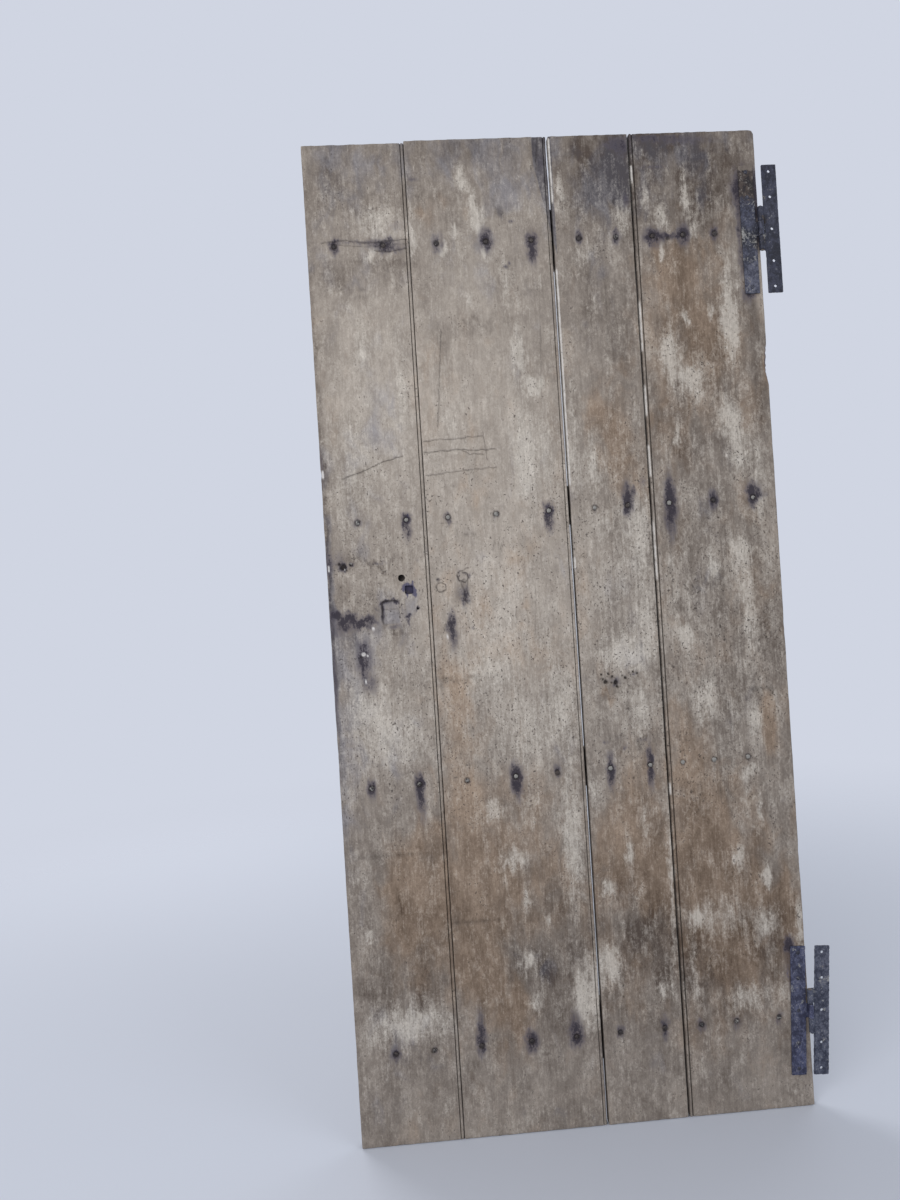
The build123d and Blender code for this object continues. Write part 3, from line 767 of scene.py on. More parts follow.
def hole_walls(skin, points):
    """Adds the walls and the floor of every hole.

    Returns the points, and the rim point that each new one follows.
    """
    added = []
    sources = []
    count = len(points)
    for ring, depth in skin.walls:
        middle = points[ring].mean(0)
        last = ring
        for step in np.linspace(0, 1, wall_levels + 1)[1:]:
            level = points[ring].copy()
            level[:, 1] = level[:, 1] * (1 - step) + depth * step
            shrink = 1 - hole_taper * step
            level[:, [0, 2]] = middle[[0, 2]] + (level[:, [0, 2]] - middle[[0, 2]]) * shrink
            here = list(range(count, count + len(ring)))
            count += len(ring)
            added.append(level)
            sources += ring
            skin.extra_faces += wall_faces(last, here)
            last = here
        skin.extra_faces.append(list(last))
    return np.vstack([points] + added), sources


def wall_faces(upper, lower):
    """Faces between two rings of as many points."""
    count = len(upper)
    return [[upper[i], upper[(i + 1) % count], lower[(i + 1) % count], lower[i]] for i in range(count)]


def ring_numbers(first, count, levels):
    """Numbers of the points in each of several rings that follow one another."""
    return [list(range(first + count * level, first + count * (level + 1))) for level in range(levels)]


def board_nails(left, right):
    """Nails of the board between two edges: x, z and the nail's stain."""
    return [(x, z, stain) for places, stains in zip(nail_rows, nail_stains)
            for (x, z), stain in zip(places, stains) if left < x < right]


def plate_edge(across, down):
    """Distance outside the edge of the old latch plate's recess, less than 0 inside it."""
    middle_across, middle_down, half_width, half_height = plate_recess
    aside = np.abs(across - middle_across) - half_width + plate_corner
    below = np.abs(down - middle_down) - half_height + plate_corner
    outside = np.hypot(np.maximum(aside, 0), np.maximum(below, 0))
    return outside + np.minimum(np.maximum(aside, below), 0) - plate_corner


def inside_wedge(across, down):
    """1 where the wide board's top right corner has split off, 0 elsewhere."""
    share = np.clip((down - wedge_top[1]) / (wedge_tip[1] - wedge_top[1]), 0, 1)
    left = wedge_top[0] + (wedge_tip[0] - wedge_top[0]) * share
    return smooth((across - left) / 2.0 + 0.5) * smooth((wedge_tip[1] - down) / 8) * (across < wedge_tip[0])


def face_relief(x, z, across, down, nails, seed):
    """How deep the worn face lies below the flat one, and how dark it is painted: shade in its hollows, pits
    and cracks and along the latch plate recess's upper and left edges, and the rust rings round and under
    the nail heads.
    """
    deep = grain_depth + grain_depth * cloud(across, down, 7, 190, seed, 3)
    deep += hollow_depth * smooth(0.5 + 0.6 * cloud(across, down, 46, 260, seed + 5, 3))
    deep += dent_depth * smooth(1.4 * cloud(across, down, 16, 30, seed + 9, 3) - 0.5)
    dark = np.zeros_like(deep)
    edge = plate_edge(across, down)
    deep += plate_depth * smooth(0.5 - edge / 1.2)
    # Painted shadow of the recess's upper and left edges on its floor: a thin dark band along those edges,
    # fading towards the lower right
    to_upper_left = (plate_recess[1] + 10 - down) / 30 + (plate_recess[0] - across) / 22
    outline = smooth(0.35 + 0.5 * to_upper_left) * np.exp(-((edge + 0.8) / 1.9) ** 2)
    dark = np.maximum(dark, 0.90 * outline)
    wedge = inside_wedge(across, down)
    deep += wedge_depth * wedge * (1 + 0.5 * cloud(across, down, 5, 90, seed + 12, 3))
    bent_across, bent_down = bend(across, down, (1.2, 9, 14), (1.6, 12, 16), seed + 13, 2)
    for middle_across, middle_down, radius, depth in pits:
        reach = np.hypot(bent_across - middle_across, bent_down - middle_down) / radius
        hollow = smooth(1.5 * (1.25 - reach))
        deep += depth * hollow
        # Deeper pits are painted darker, as shade in them
        dark = np.maximum(dark, hollow * min(1.0, depth / 2.5))
    for points, half_width, depth, darkness in grooves:
        reach = distance_to_line(bent_across, bent_down, points) / half_width
        groove = np.exp(-reach ** 2)
        deep += depth * groove
        # The groove is painted dark, as shade in it
        dark = np.maximum(dark, darkness * groove)
    ragged = 0.70 + 0.9 * cloud(across, down, 6, 7, seed + 15, 2)
    for nail_x, nail_z, (strength, _, _, _) in nails:
        reach = np.hypot(x - nail_x, z - nail_z)
        dish = (dish_depth + 0.5 * strength) * smooth((dish_radius - reach) / 2.2)
        deep = deep * smooth(reach / flat_ground_radius - 0.2) + dish
        ring = np.exp(-((reach - dark_ring_radius) / dark_ring_width) ** 2)
        dark = np.maximum(dark, (0.6 + 0.2 * strength) * ragged * ring)
        dark = np.where(reach < head_reach, np.maximum(dark, 0.25 + 0.6 * strength), dark)
    return np.maximum(deep, 0), dark


def face_stains(x, z, across, down, nails, seed):
    """Strength of the black iron stains."""
    bent_across, bent_down = bend(across, down, (3.4, 12, 16), (5.0, 10, 22), seed + 21, 4)
    stain = patches(bent_across, bent_down, black_patches)
    for nail_x, nail_z, (strength, up, below, half_width) in nails:
        aside = (x - nail_x + bent_across - across) / (stain_width * half_width)
        rise = z - nail_z + down - bent_down
        rise = rise / (stain_reach * np.where(rise > 0, up, below))
        stain += stain_strength * strength * np.exp(-aside ** 2 - rise ** 2)
    return stain


def wear_edges(name, skin, x, down, seed):
    """Makes a board's two edges wavy and chipped. Inside a joint only the front arris is wavy."""
    waves = wave_height * ripple(down, 60, seed + 41, 4)
    chip_waves = 0.7 + 0.6 * ripple(down, 14, seed + 43, 3)
    for side, edge in ((-1, x.min()), (1, x.max())):
        outer = (name, side) in (("latch_side_board", -1), ("hinge_side_board", 1))
        worn = np.maximum(0, (outer_wear if outer else joint_wear) - side * waves)
        if not outer:
            worn = worn * smooth((6 - skin.deep) / 4)
        for board, chip_side, middle, half_length, depth in edge_chips:
            if board == name and chip_side == side:
                worn = worn + depth * chip_waves * np.exp(-((down - middle) / half_length) ** 4)
        skin.aside -= side * worn * np.exp(-np.abs(x - edge) / edge_fade)


def break_splinter(skin, x, down, seed):
    """Breaks the splinter out of the hinge edge."""
    broken = chip_width * np.clip(1 - ((down - chip_down) / chip_half_length) ** 2, 0, 1)
    broken = broken * (0.8 + 0.4 * ripple(down, 16, seed + 44, 3))
    broken = broken * (skin.deep < chip_depth + 1)
    skin.aside -= broken * np.exp(-np.abs(x - x.max()) / 5.0)


def round_corner(skin, x, z):
    """Wears the hinge side's top corner round."""
    from_corner = np.hypot(np.maximum(0, x - x.max() + worn_corner_radius),
                           np.maximum(0, z - z.max() + worn_corner_radius))
    excess = np.maximum(0, from_corner - worn_corner_radius)
    skin.aside -= excess * corner_draw
    skin.along -= excess * corner_draw


def face_colours(across, down, seed):
    """Tone, limewash, warmth, specks, blue paint and white plugs of a board's face."""
    bent_across, bent_down = bend(across, down, (6, 34, 60), (22, 22, 110), seed + 51, 3)
    fine_across, fine_down = bend(across, down, (5, 14, 22), (14, 12, 34), seed + 55, 4)
    tone = 0.42 + patches(bent_across, bent_down, tone_patches)
    broad = 0.05 * cloud(across, down, 90, 300, seed + 53, 3)
    tone += broad + 0.07 * cloud(across, down, 40, 80, seed + 54, 3)
    lime = 0.08 + patches(fine_across, fine_down, lime_patches) - 0.10 * smooth((110 - down) / 110)
    lime += 0.13 * cloud(across, down, 26, 60, seed + 57, 3)
    warmth = 0.5 + 0.5 * patches(bent_across, bent_down, warmth_patches)
    warmth += 0.10 * cloud(across, down, 90, 160, seed + 58, 3)
    specks = 0.35 + 0.35 * smooth((down - 500) / 400) * smooth((1500 - down) / 300)
    specks += 0.30 * cloud(across, down, 40, 80, seed + 59, 3) + 0.30 * np.clip(lime, 0, 1)
    blue = patches(fine_across, fine_down, blue_patches)
    wedge = inside_wedge(across, down)
    in_plate = smooth(-plate_edge(across, down) / 3)
    tone -= 0.20 * wedge + 0.03 * in_plate
    warmth -= 0.30 * wedge + 0.10 * in_plate
    lime -= 0.20 * in_plate
    white = np.zeros_like(down)
    for spot in white_spots:
        white = np.maximum(white, smooth(2.2 * (oval(across, down, spot) - 0.20)))
    return tone, lime, warmth, specks, blue, white


def white_and_lit_stretches(name, down, seed):
    """About 1 on the lengths of a board's left side that are painted white, as limewash and as painted light
    coming through the joint, 0 elsewhere.
    """
    opened = np.zeros_like(down)
    for start, end in white_and_lit_joints.get(name, ()):
        opened += smooth((down - start) / 8) * smooth((end - down) / 8)
    return opened * (0.75 + 0.5 * ripple(down, 12, seed + 61, 3))


def board_wear(name, skin, fronts, seed):
    """Wears a board's skin, and returns its two colour attributes."""
    x, z = skin.aside.copy(), skin.along.copy()
    across, down = x - face_left, face_top - z
    left, right = x.min(), x.max()
    nails = board_nails(left, right)
    flat_deep = skin.deep.copy()
    is_front = np.zeros(x.shape, bool)
    is_front[:, :fronts] = True
    thickness = flat_deep.max()
    on_back = flat_deep >= thickness - 0.01
    on_side = ~is_front & ~on_back

    # The surface, then the edges and ends
    deep, dark = face_relief(x, z, across, down, nails, seed)
    if name == "hinge_side_board":
        for leaf in ("upper_door_leaf", "lower_door_leaf"):
            deep *= 1 - near_leaf(x, z, leaf, 3)
    back_deep = back_depth + 0.2 * cloud(across, down, 14, 9, seed + 31, 3)
    skin.deep += np.where(is_front, deep, 0)
    skin.deep -= np.where(on_back, np.maximum(back_deep, 0) * away_from_ledges(z), 0)
    wear_edges(name, skin, x, down, seed)
    if name == "hinge_side_board":
        break_splinter(skin, x, down, seed)
    end_waves = 0.5 + 0.7 * smooth(0.5 + ripple(across, 22, seed + 45, 4))
    for side, end in ((1, z.max()), (-1, z.min())):
        skin.along -= side * end_waves * np.exp(-np.abs(z - end) / end_fade)
    if name == "hinge_side_board":
        round_corner(skin, x, z)

    # The face, and painted shade in the quirks of the beads and on the beads' flanks by the joints
    tone, lime, warmth, specks, blue, white = face_colours(across, down, seed)
    stain = face_stains(x, z, across, down, nails, seed)
    from_joint = np.minimum(x - left, right - x)
    in_quirk = is_front & (flat_deep > bead_radius - 0.6) & (from_joint > bead_radius)
    dark = np.where(in_quirk, 0.85, dark)
    # The bead's outer flank, within 1.2 mm of the joint, is painted darker as shade
    if True in beads[name]:
        flank = right - x if beads[name][1] else x - left
        dark = np.where(is_front & (flank < 1.2), np.maximum(dark, 0.5), dark)

    # The sides of the boards, inside the joints: painted shade, dark and of a darker tone, except along the
    # white stretches, which are white limewash and also painted light coming through the joint from behind
    in_gap = (x - left < bead_radius * 0.9) & (skin.deep < thickness - 1)
    white_and_lit = white_and_lit_stretches(name, down, seed) * in_gap
    dark = np.where(on_side, 0.60, dark)
    tone = np.where(on_side, 0.36, tone)
    dark = dark * (1 - np.clip(white_and_lit, 0, 1))
    lime = np.where(white_and_lit > 0.3, 1.3 * white_and_lit, lime)
    stain = np.where(white_and_lit > 0.3, 0, stain)

    # The back has had no limewash
    tone = np.where(on_back, 0.42 + 0.10 * cloud(across, down, 70, 420, seed + 63, 4), tone)
    lime = np.where(on_back, 0.02 + 0.12 * cloud(across, down, 50, 160, seed + 65, 4), lime)
    warmth = np.where(on_back, 0.60, warmth)
    dark = np.where(on_back, 0, dark)
    stain = np.where(on_back, 0.05, stain)
    blue = np.where(is_front, blue, 0)
    # The white stretches also reach onto the front's edge by the joint, as white paint and painted light
    white = np.where(is_front, np.maximum(white, 0.7 * white_and_lit), 0)
    return colour_rows(tone, lime, stain, warmth), colour_rows(dark, specks, blue, white)


def colour_rows(*layers):
    """Four layers of 0 to 1 as the rows of a colour attribute."""
    return np.clip(np.stack(layers, axis=-1), 0, 1).reshape(-1, 4)


def away_from_ledges(z):
    """0 where a ledge lies on the boards' backs, 1 away from the ledges."""
    free = np.ones_like(z)
    for ledge in ledge_names:
        low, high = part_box(ledge)
        free *= smooth((np.abs(z - (low.z + high.z) / 2 / MM) - (high.z - low.z) / 2 / MM) / 3)
    return free


def hole_shade_and_paint(rims, blue):
    """Colours of the holes' walls: painted shade, dark but with a painted highlight on the latch hole's lit
    side, and lighter where they are blue.
    """
    hole_across, hole_down, radius = latch_hole
    from_middle = rims - (face_left + hole_across, 0, face_top - hole_down)
    lit = (from_middle[:, 0] - from_middle[:, 2]) / (2 * radius)
    in_latch = np.hypot(from_middle[:, 0], from_middle[:, 2]) < radius + 2
    dark = 0.85 - np.where(in_latch, 0.45 * smooth(0.3 + lit), 0) - 0.55 * np.clip(blue, 0, 1)
    return np.stack([dark, 0 * dark, blue, 0 * dark], axis=-1)


def make_board(name, seed):
    """A worn board, in place of its plain node."""
    skin, fronts = board_skin(name)
    if name == "latch_side_board":
        open_hole(skin, fronts, latch_hole, outline_round(latch_hole[2], 0.02), latch_hole_depth)
        open_hole(skin, fronts, spindle_mortise, outline_square(spindle_mortise[2], 0.02), mortise_depth)
        open_hole(skin, fronts, peg_hole, outline_round(peg_hole[2], 0.04), peg_depth)
    skin.round_ends(end_arris)
    patina_and_shading, marks_and_shading = board_wear(name, skin, fronts, seed)
    points = np.stack([skin.aside, skin.deep, skin.along], axis=-1).reshape(-1, 3)
    if skin.walls:
        points, sources = hole_walls(skin, points)
        # The holes' walls get a darker tone as painted shade, with some iron stain
        patina_and_shading = np.vstack([patina_and_shading, np.tile([0.30, 0.0, 0.35, 0.5], (len(sources), 1))])
        marks_and_shading = np.vstack([marks_and_shading, hole_shade_and_paint(points[sources], 1.4 * marks_and_shading[sources, 2])])
    piece = make_mesh(f"{name}_worn", points, skin.faces(), {"patina_and_shading": patina_and_shading, "marks_and_shading": marks_and_shading})
    edit_mesh(piece.data, drop_loose_points)
    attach(piece, "door")
    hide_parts(name)
    return piece


def edit_mesh(mesh, edit):
    """Changes a mesh by a function of its bmesh."""
    shape = bmesh.new()
    shape.from_mesh(mesh)
    edit(shape)
    shape.to_mesh(mesh)
    shape.free()


def drop_loose_points(shape):
    """Deletes points that no face uses, such as those inside an opened hole."""
    loose = [point for point in shape.verts if not point.link_faces]
    bmesh.ops.delete(shape, geom=loose, context="VERTS")


def face_outward(shape):
    """Turns a closed shape's faces outward."""
    bmesh.ops.recalc_face_normals(shape, faces=shape.faces)


def merge_points(shape):
    """Joins the points that lie in one place."""
    bmesh.ops.remove_doubles(shape, verts=shape.verts, dist=0.01 * MM)


def make_ledge(name, seed):
    """A ledge across the boards' backs, with chamfered outer edges and hacked ends."""
    low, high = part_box(name)
    left, right, bottom, top = low.x / MM, high.x / MM, low.z / MM, high.z / MM
    near, far = low.y / MM, high.y / MM
    edge_middle, half_width = (top + bottom) / 2, (top - bottom) / 2
    back = [(place, far) for place in lines(bottom + ledge_chamfer, top - ledge_chamfer, ledge_step)]
    slant = [(ledge_chamfer * part, far - ledge_chamfer * (1 - part)) for part in (0.25, 0.5, 0.75)]
    upper = [(top - inset, deep) for inset, deep in reversed(slant)]
    upper += [(top, deep) for deep in lines(far - ledge_chamfer, near + 0.5, ledge_step)]
    lower = [(bottom, deep) for deep in lines(near + 0.5, far - ledge_chamfer, ledge_step)]
    lower += [(bottom + inset, deep) for inset, deep in slant]
    front = [(place, near) for place in lines(top - 0.5, bottom + 0.5, ledge_near_step)]
    stations = lines(left + 1.5, right - 1.5, ledge_column_step)
    stations = np.concatenate([[left, left + 0.5], stations, [right - 0.5, right]])
    skin = Skin(back + upper + front + lower, stations)
    x, z = skin.along.copy(), skin.aside.copy()
    outward = skin.deep > near + 0.6

    relief = 0.25 + 0.20 * cloud(z, x, 9, 160, seed, 3)
    relief += 0.25 * smooth(cloud(z, x, 20, 40, seed + 3, 3))
    stain = np.zeros_like(relief)
    for nail_x, nail_z in nail_rows[ledge_names.index(name)]:
        reach = np.hypot(x - nail_x, np.maximum(0, np.abs(z - nail_z + clench_drop) - clench_reach))
        relief = relief * smooth(reach / 7 - 0.3)
        stain += 0.7 * np.exp(-((x - nail_x) / 14) ** 2 - ((z - nail_z + clench_drop) / 13) ** 2)
    skin.deep -= np.where(skin.deep > far - 0.01, np.maximum(relief, 0), 0)
    worn = np.maximum(0, 0.5 + 0.5 * ripple(x, 50, seed + 5, 4))
    at_edge = np.abs(z - edge_middle) > half_width - 1
    skin.aside -= np.where(outward, np.sign(z - edge_middle), 0) * worn * at_edge
    saw = 0.3 + 0.5 * smooth(0.5 + cloud(z, skin.deep, 9, 9, seed + 7, 3))
    for side, end in ((-1, left), (1, right)):
        skin.along -= side * saw * np.exp(-np.abs(x - end) / 2.0) * outward

    tone = 0.46 + 0.10 * cloud(z, x, 24, 300, seed + 11, 4)
    tone -= 0.12 * smooth(1 - np.abs(np.abs(z - edge_middle) - half_width) / 6)
    lime = 0.02 + 0.10 * cloud(z, x, 30, 120, seed + 13, 4)
    none = 0 * tone
    patina_and_shading, marks_and_shading = colour_rows(tone, lime, stain, 0.6 + none), colour_rows(none, 0.3 + none, none, none)
    points = np.stack([skin.along, skin.deep, skin.aside], axis=-1).reshape(-1, 3)
    piece = make_mesh(f"{name}_worn", points, skin.faces(), {"patina_and_shading": patina_and_shading, "marks_and_shading": marks_and_shading})
    edit_mesh(piece.data, face_outward)
    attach(piece, "door")
    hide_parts(name)
    return piece


def forged_head(radius, height, sink, seed):
    """Rings of a hand-forged nail head: its middle first, and the front towards -y."""
    turns = np.linspace(0, 2 * math.pi, head_sides, endpoint=False)
    outline = 1 + 0.05 * np.sin(turns * 3 + seed) + 0.045 * np.sin(turns * 5 + 2.3 * seed)
    rings = []
    for share in (0.12, 0.35, 0.58, 0.78, 0.92, 1.0):
        dome = height * (1 - share ** 2.6)
        facets = 0.10 * height * np.cos(turns * 4 + seed * 1.7) * share * (1 - share) * 4
        rings.append(np.stack([share * radius * outline * np.cos(turns), -(dome + facets),
                               share * radius * outline * np.sin(turns)], axis=1))
    rings.append(rings[-1] * (1.02, 0, 1.02) + (0, sink, 0))
    return rings


def loft_rings(rings, points, faces):
    """Joins rings of as many points with faces, and closes both ends."""
    numbers = ring_numbers(sum(len(ring) for ring in points), len(rings[0]), len(rings))
    points += rings
    for upper, lower in zip(numbers, numbers[1:]):
        faces += wall_faces(upper, lower)
    faces += [numbers[0][::-1], numbers[-1]]


def shank_rings(path, widths):
    """Square rings along a nail's path in the y-z plane."""
    rings = []
    for index, ((y, z), width) in enumerate(zip(path, widths)):
        before, after = path[max(index - 1, 0)], path[min(index + 1, len(path) - 1)]
        direction = math.atan2(after[1] - before[1], after[0] - before[0])
        across = (-math.sin(direction), math.cos(direction))
        half = width / 2
        rings.append(np.array([(side * half, y + across[0] * rise * half, z + across[1] * rise * half)
                               for side, rise in ((-1, -1), (1, -1), (1, 1), (-1, 1))]))
    return rings


def make_nails(row, seed):
    """The forged nails of one ledge: domed heads, and points clenched over the ledge."""
    node = f"{ledge_names[row]}_nails"
    points, faces, zones = [], [], []
    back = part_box(ledge_names[row])[1].y / MM
    path = [(1.0, 0), (20, 0), (back - 1.0, 0), (back + 0.4, -0.5), (back + 1.0, -2.4), (back + 1.0, -8.0),
            (back + 0.5, -13.5), (back + 0.1, -16.4)]
    widths = (3.3, 3.3, 3.2, 2.9, 2.5, 2.2, 1.6, 0.7)
    for index, (x, z) in enumerate(nail_rows[row]):
        pale = nail_centres[row][index]
        radius = head_radius + head_spread * abs(math.sin(2.3 * index + seed))
        settle = 0.75 + 0.25 * math.sin(3.1 * index + seed)
        head = forged_head(radius, head_height, head_sink, seed + index)
        head = [ring + (x, 0, z) + (0, settle, 0) for ring in head]
        shank = [ring + (x, 0, z) for ring in shank_rings(path, widths)]
        for rings in (head, shank):
            loft_rings(rings, points, faces)
            zones += [(0, pale, 0, 0)] * sum(len(ring) for ring in rings)
    piece = make_mesh(f"{node}_forged", np.vstack(points), faces, {"zones": zones}, sharp=50.0)
    edit_mesh(piece.data, face_outward)
    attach(piece, "door")
    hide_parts(node)
    return piece


def make_hinge_nails(node, seed):
    """The nails of a door leaf, with low faceted heads."""
    points, faces = [], []
    shank = shank_rings([(-leaf_thickness, 0), (9.0, 0), (15.8, 0)], (3.2, 3.2, 1.0))
    for index, nail in enumerate(nail_groups(node, 2)):
        x, z = middle_place(nail)
        head = forged_head(leaf_head_radius, leaf_head_height, leaf_head_sink, seed + index)
        loft_rings([ring + (x, -leaf_thickness - 0.1, z) for ring in head], points, faces)
        loft_rings([ring + (x, 0, z) for ring in shank], points, faces)
    zones = [(0, 0.20, 0.5, 0)] * sum(len(ring) for ring in points)
    piece = make_mesh(f"{node}_forged", np.vstack(points), faces, {"zones": zones}, sharp=50.0)
    edit_mesh(piece.data, face_outward)
    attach(piece, "door")
    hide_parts(node)
    return piece


def make_leaf(node, body, seed):
    """A hinge leaf with worn corners and pitted faces, in place of its plain node."""
    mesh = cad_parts[node].data.copy()
    piece = bpy.data.objects.new(f"{node}_rusted", mesh)
    bpy.context.scene.collection.objects.link(piece)
    edit_mesh(mesh, merge_points)
    remesh = piece.modifiers.new("Voxels", "REMESH")
    remesh.mode = "VOXEL"
    remesh.voxel_size = leaf_mesh_step * MM
    graph = bpy.context.evaluated_depsgraph_get()
    solid = bpy.data.meshes.new_from_object(piece.evaluated_get(graph))
    piece.modifiers.clear()
    piece.data = solid
    count = len(solid.vertices)
    places = np.zeros(count * 3, np.float32)
    normals = np.zeros(count * 3, np.float32)
    solid.vertices.foreach_get("co", places)
    solid.vertices.foreach_get("normal", normals)
    places, normals = places.reshape(-1, 3), normals.reshape(-1, 3)
    shift = Vector((seed * 3.1, seed * 1.7, seed * 0.9))
    depths = np.array([pit_depth(Vector(place), shift) for place in places])
    places = places - normals * depths[:, None] * MM
    solid.vertices.foreach_set("co", places.astype(np.float32).ravel())
    across, down = places[:, 0] / MM - face_left, face_top - places[:, 2] / MM
    across = across + 3.0 * cloud(across, down, 16, 20, seed, 3)
    down = down + 4.0 * cloud(across, down, 14, 20, seed + 1, 3)
    zones = np.zeros((count, 4), np.float32)
    for channel, spots in enumerate(leaf_zones[node]):
        zones[:, channel] = np.clip(patches(across, down, spots), 0, 1)
    layer = solid.color_attributes.new(name="zones", type="FLOAT_COLOR", domain="POINT")
    layer.data.foreach_set("color", zones.ravel())
    solid.shade_smooth()
    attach(piece, body)
    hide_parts(node)
    return piece


def pit_depth(place, shift):
    """Depth of the rust at a place on a hinge leaf, in millimetres."""
    coarse = noise.fractal(place * 90 + shift, 0.6, 2.0, 3)
    fine = noise.fractal(place * 320 + shift, 0.7, 2.0, 2)
    return 0.10 + 0.22 * max(0.0, coarse) + 0.16 * fine + 0.5 * max(0.0, coarse + fine - 0.7)


def srgb(red, green, blue):
    """A colour written as 0 to 255, as Blender's linear values."""
    values = []
    for part in (red, green, blue):
        part /= 255
        values.append(part / 12.92 if part <= 0.04045 else ((part + 0.055) / 1.055) ** 2.4)
    return (*values, 1.0)


class Paint:
    """A material under construction: each method adds a node and returns its output."""

    def __init__(self, name):
        self.material = bpy.data.materials.new(name)
        self.material.use_nodes = True
        self.tree = self.material.node_tree
        self.tree.nodes.clear()
        self.place = self.add("ShaderNodeTexCoord").outputs["Object"]

    def add(self, kind, **settings):
        made = self.tree.nodes.new(kind)
        for name, value in settings.items():
            setattr(made, name, value)
        return made

    def set(self, socket, value):
        """Links another node's output to a socket, or sets its value."""
        if isinstance(value, bpy.types.NodeSocket):
            self.tree.links.new(value, socket)
        else:
            socket.default_value = value

    def math(self, operation, first, second):
        made = self.add("ShaderNodeMath", operation=operation)
        self.set(made.inputs[0], first)
        self.set(made.inputs[1], second)
        return made.outputs[0]

    def plus(self, first, second):
        return self.math("ADD", first, second)

    def times(self, first, second):
        return self.math("MULTIPLY", first, second)

    def scaled(self, value, amount):
        """Noise of 0 to 1, made to swing about 0 by the amount."""
        return self.times(self.plus(value, -0.5), amount)

    def swung(self, value, layers):
        """The value, with each layer of noise added by its own swing."""
        for layer, swing in layers:
            value = self.plus(value, self.scaled(layer, swing))
        return value

    def step(self, value, low, high):
        """Goes smoothly from 0 at low to 1 at high."""
        made = self.add("ShaderNodeMapRange", interpolation_type="SMOOTHSTEP")
        self.set(made.inputs["Value"], value)
        made.inputs["From Min"].default_value = min(low, high)
        made.inputs["From Max"].default_value = max(low, high)
        made.inputs["To Min"].default_value = 0.0 if low < high else 1.0
        made.inputs["To Max"].default_value = 1.0 if low < high else 0.0
        return made.outputs["Result"]

    def mix(self, factor, first, second):
        made = self.add("ShaderNodeMix", data_type="RGBA")
        self.set(made.inputs[0], factor)
        self.set(made.inputs[6], first)
        self.set(made.inputs[7], second)
        return made.outputs[2]

    def between(self, factor, shades):
        """A colour between the two shades of a pair."""
        return self.mix(factor, srgb(*shades[0]), srgb(*shades[1]))

    def cover(self, colour, mask, share, shade):
        """The colour under a coat of another shade, as thick as the mask times the share."""
        return self.mix(self.times(mask, share), colour, shade)

    def stretched(self, size, shift):
        """The object's coordinates, so that one unit is a spot of that size in millimetres."""
        scale = self.add("ShaderNodeVectorMath", operation="MULTIPLY_ADD")
        self.set(scale.inputs[0], self.place)
        scale.inputs[1].default_value = [1 / (side * MM) for side in size]
        scale.inputs[2].default_value = shift
        return scale.outputs[0]

    def noise(self, size, shift, detail=3.0, rough=0.55, warp=0.0):
        made = self.add("ShaderNodeTexNoise")
        self.set(made.inputs["Vector"], self.stretched(size, shift))
        made.inputs["Scale"].default_value = 1.0
        made.inputs["Detail"].default_value = detail
        made.inputs["Roughness"].default_value = rough
        made.inputs["Distortion"].default_value = warp
        return made.outputs["Fac"]

    def channels(self, attribute):
        """The three colours and the alpha of a colour attribute."""
        layer = self.add("ShaderNodeAttribute", attribute_name=attribute)
        split = self.add("ShaderNodeSeparateColor")
        self.set(split.inputs[0], layer.outputs["Color"])
        return split.outputs[0], split.outputs[1], split.outputs[2], layer.outputs["Alpha"]

    def finish(self, colour, roughness, height, depth, metallic=0.0, gloss=0.35):
        """Ends the material: height is a bump of the depth in millimetres."""
        shader = self.add("ShaderNodeBsdfPrincipled")
        self.set(shader.inputs["Base Color"], colour)
        self.set(shader.inputs["Roughness"], roughness)
        self.set(shader.inputs["Metallic"], metallic)
        shader.inputs["Specular IOR Level"].default_value = gloss
        bump = self.add("ShaderNodeBump")
        bump.inputs["Strength"].default_value = 1.0
        bump.inputs["Distance"].default_value = depth * MM
        self.set(bump.inputs["Height"], height)
        self.set(shader.inputs["Normal"], bump.outputs[0])
        output = self.add("ShaderNodeOutputMaterial")
        self.tree.links.new(shader.outputs[0], output.inputs["Surface"])
        return self.material


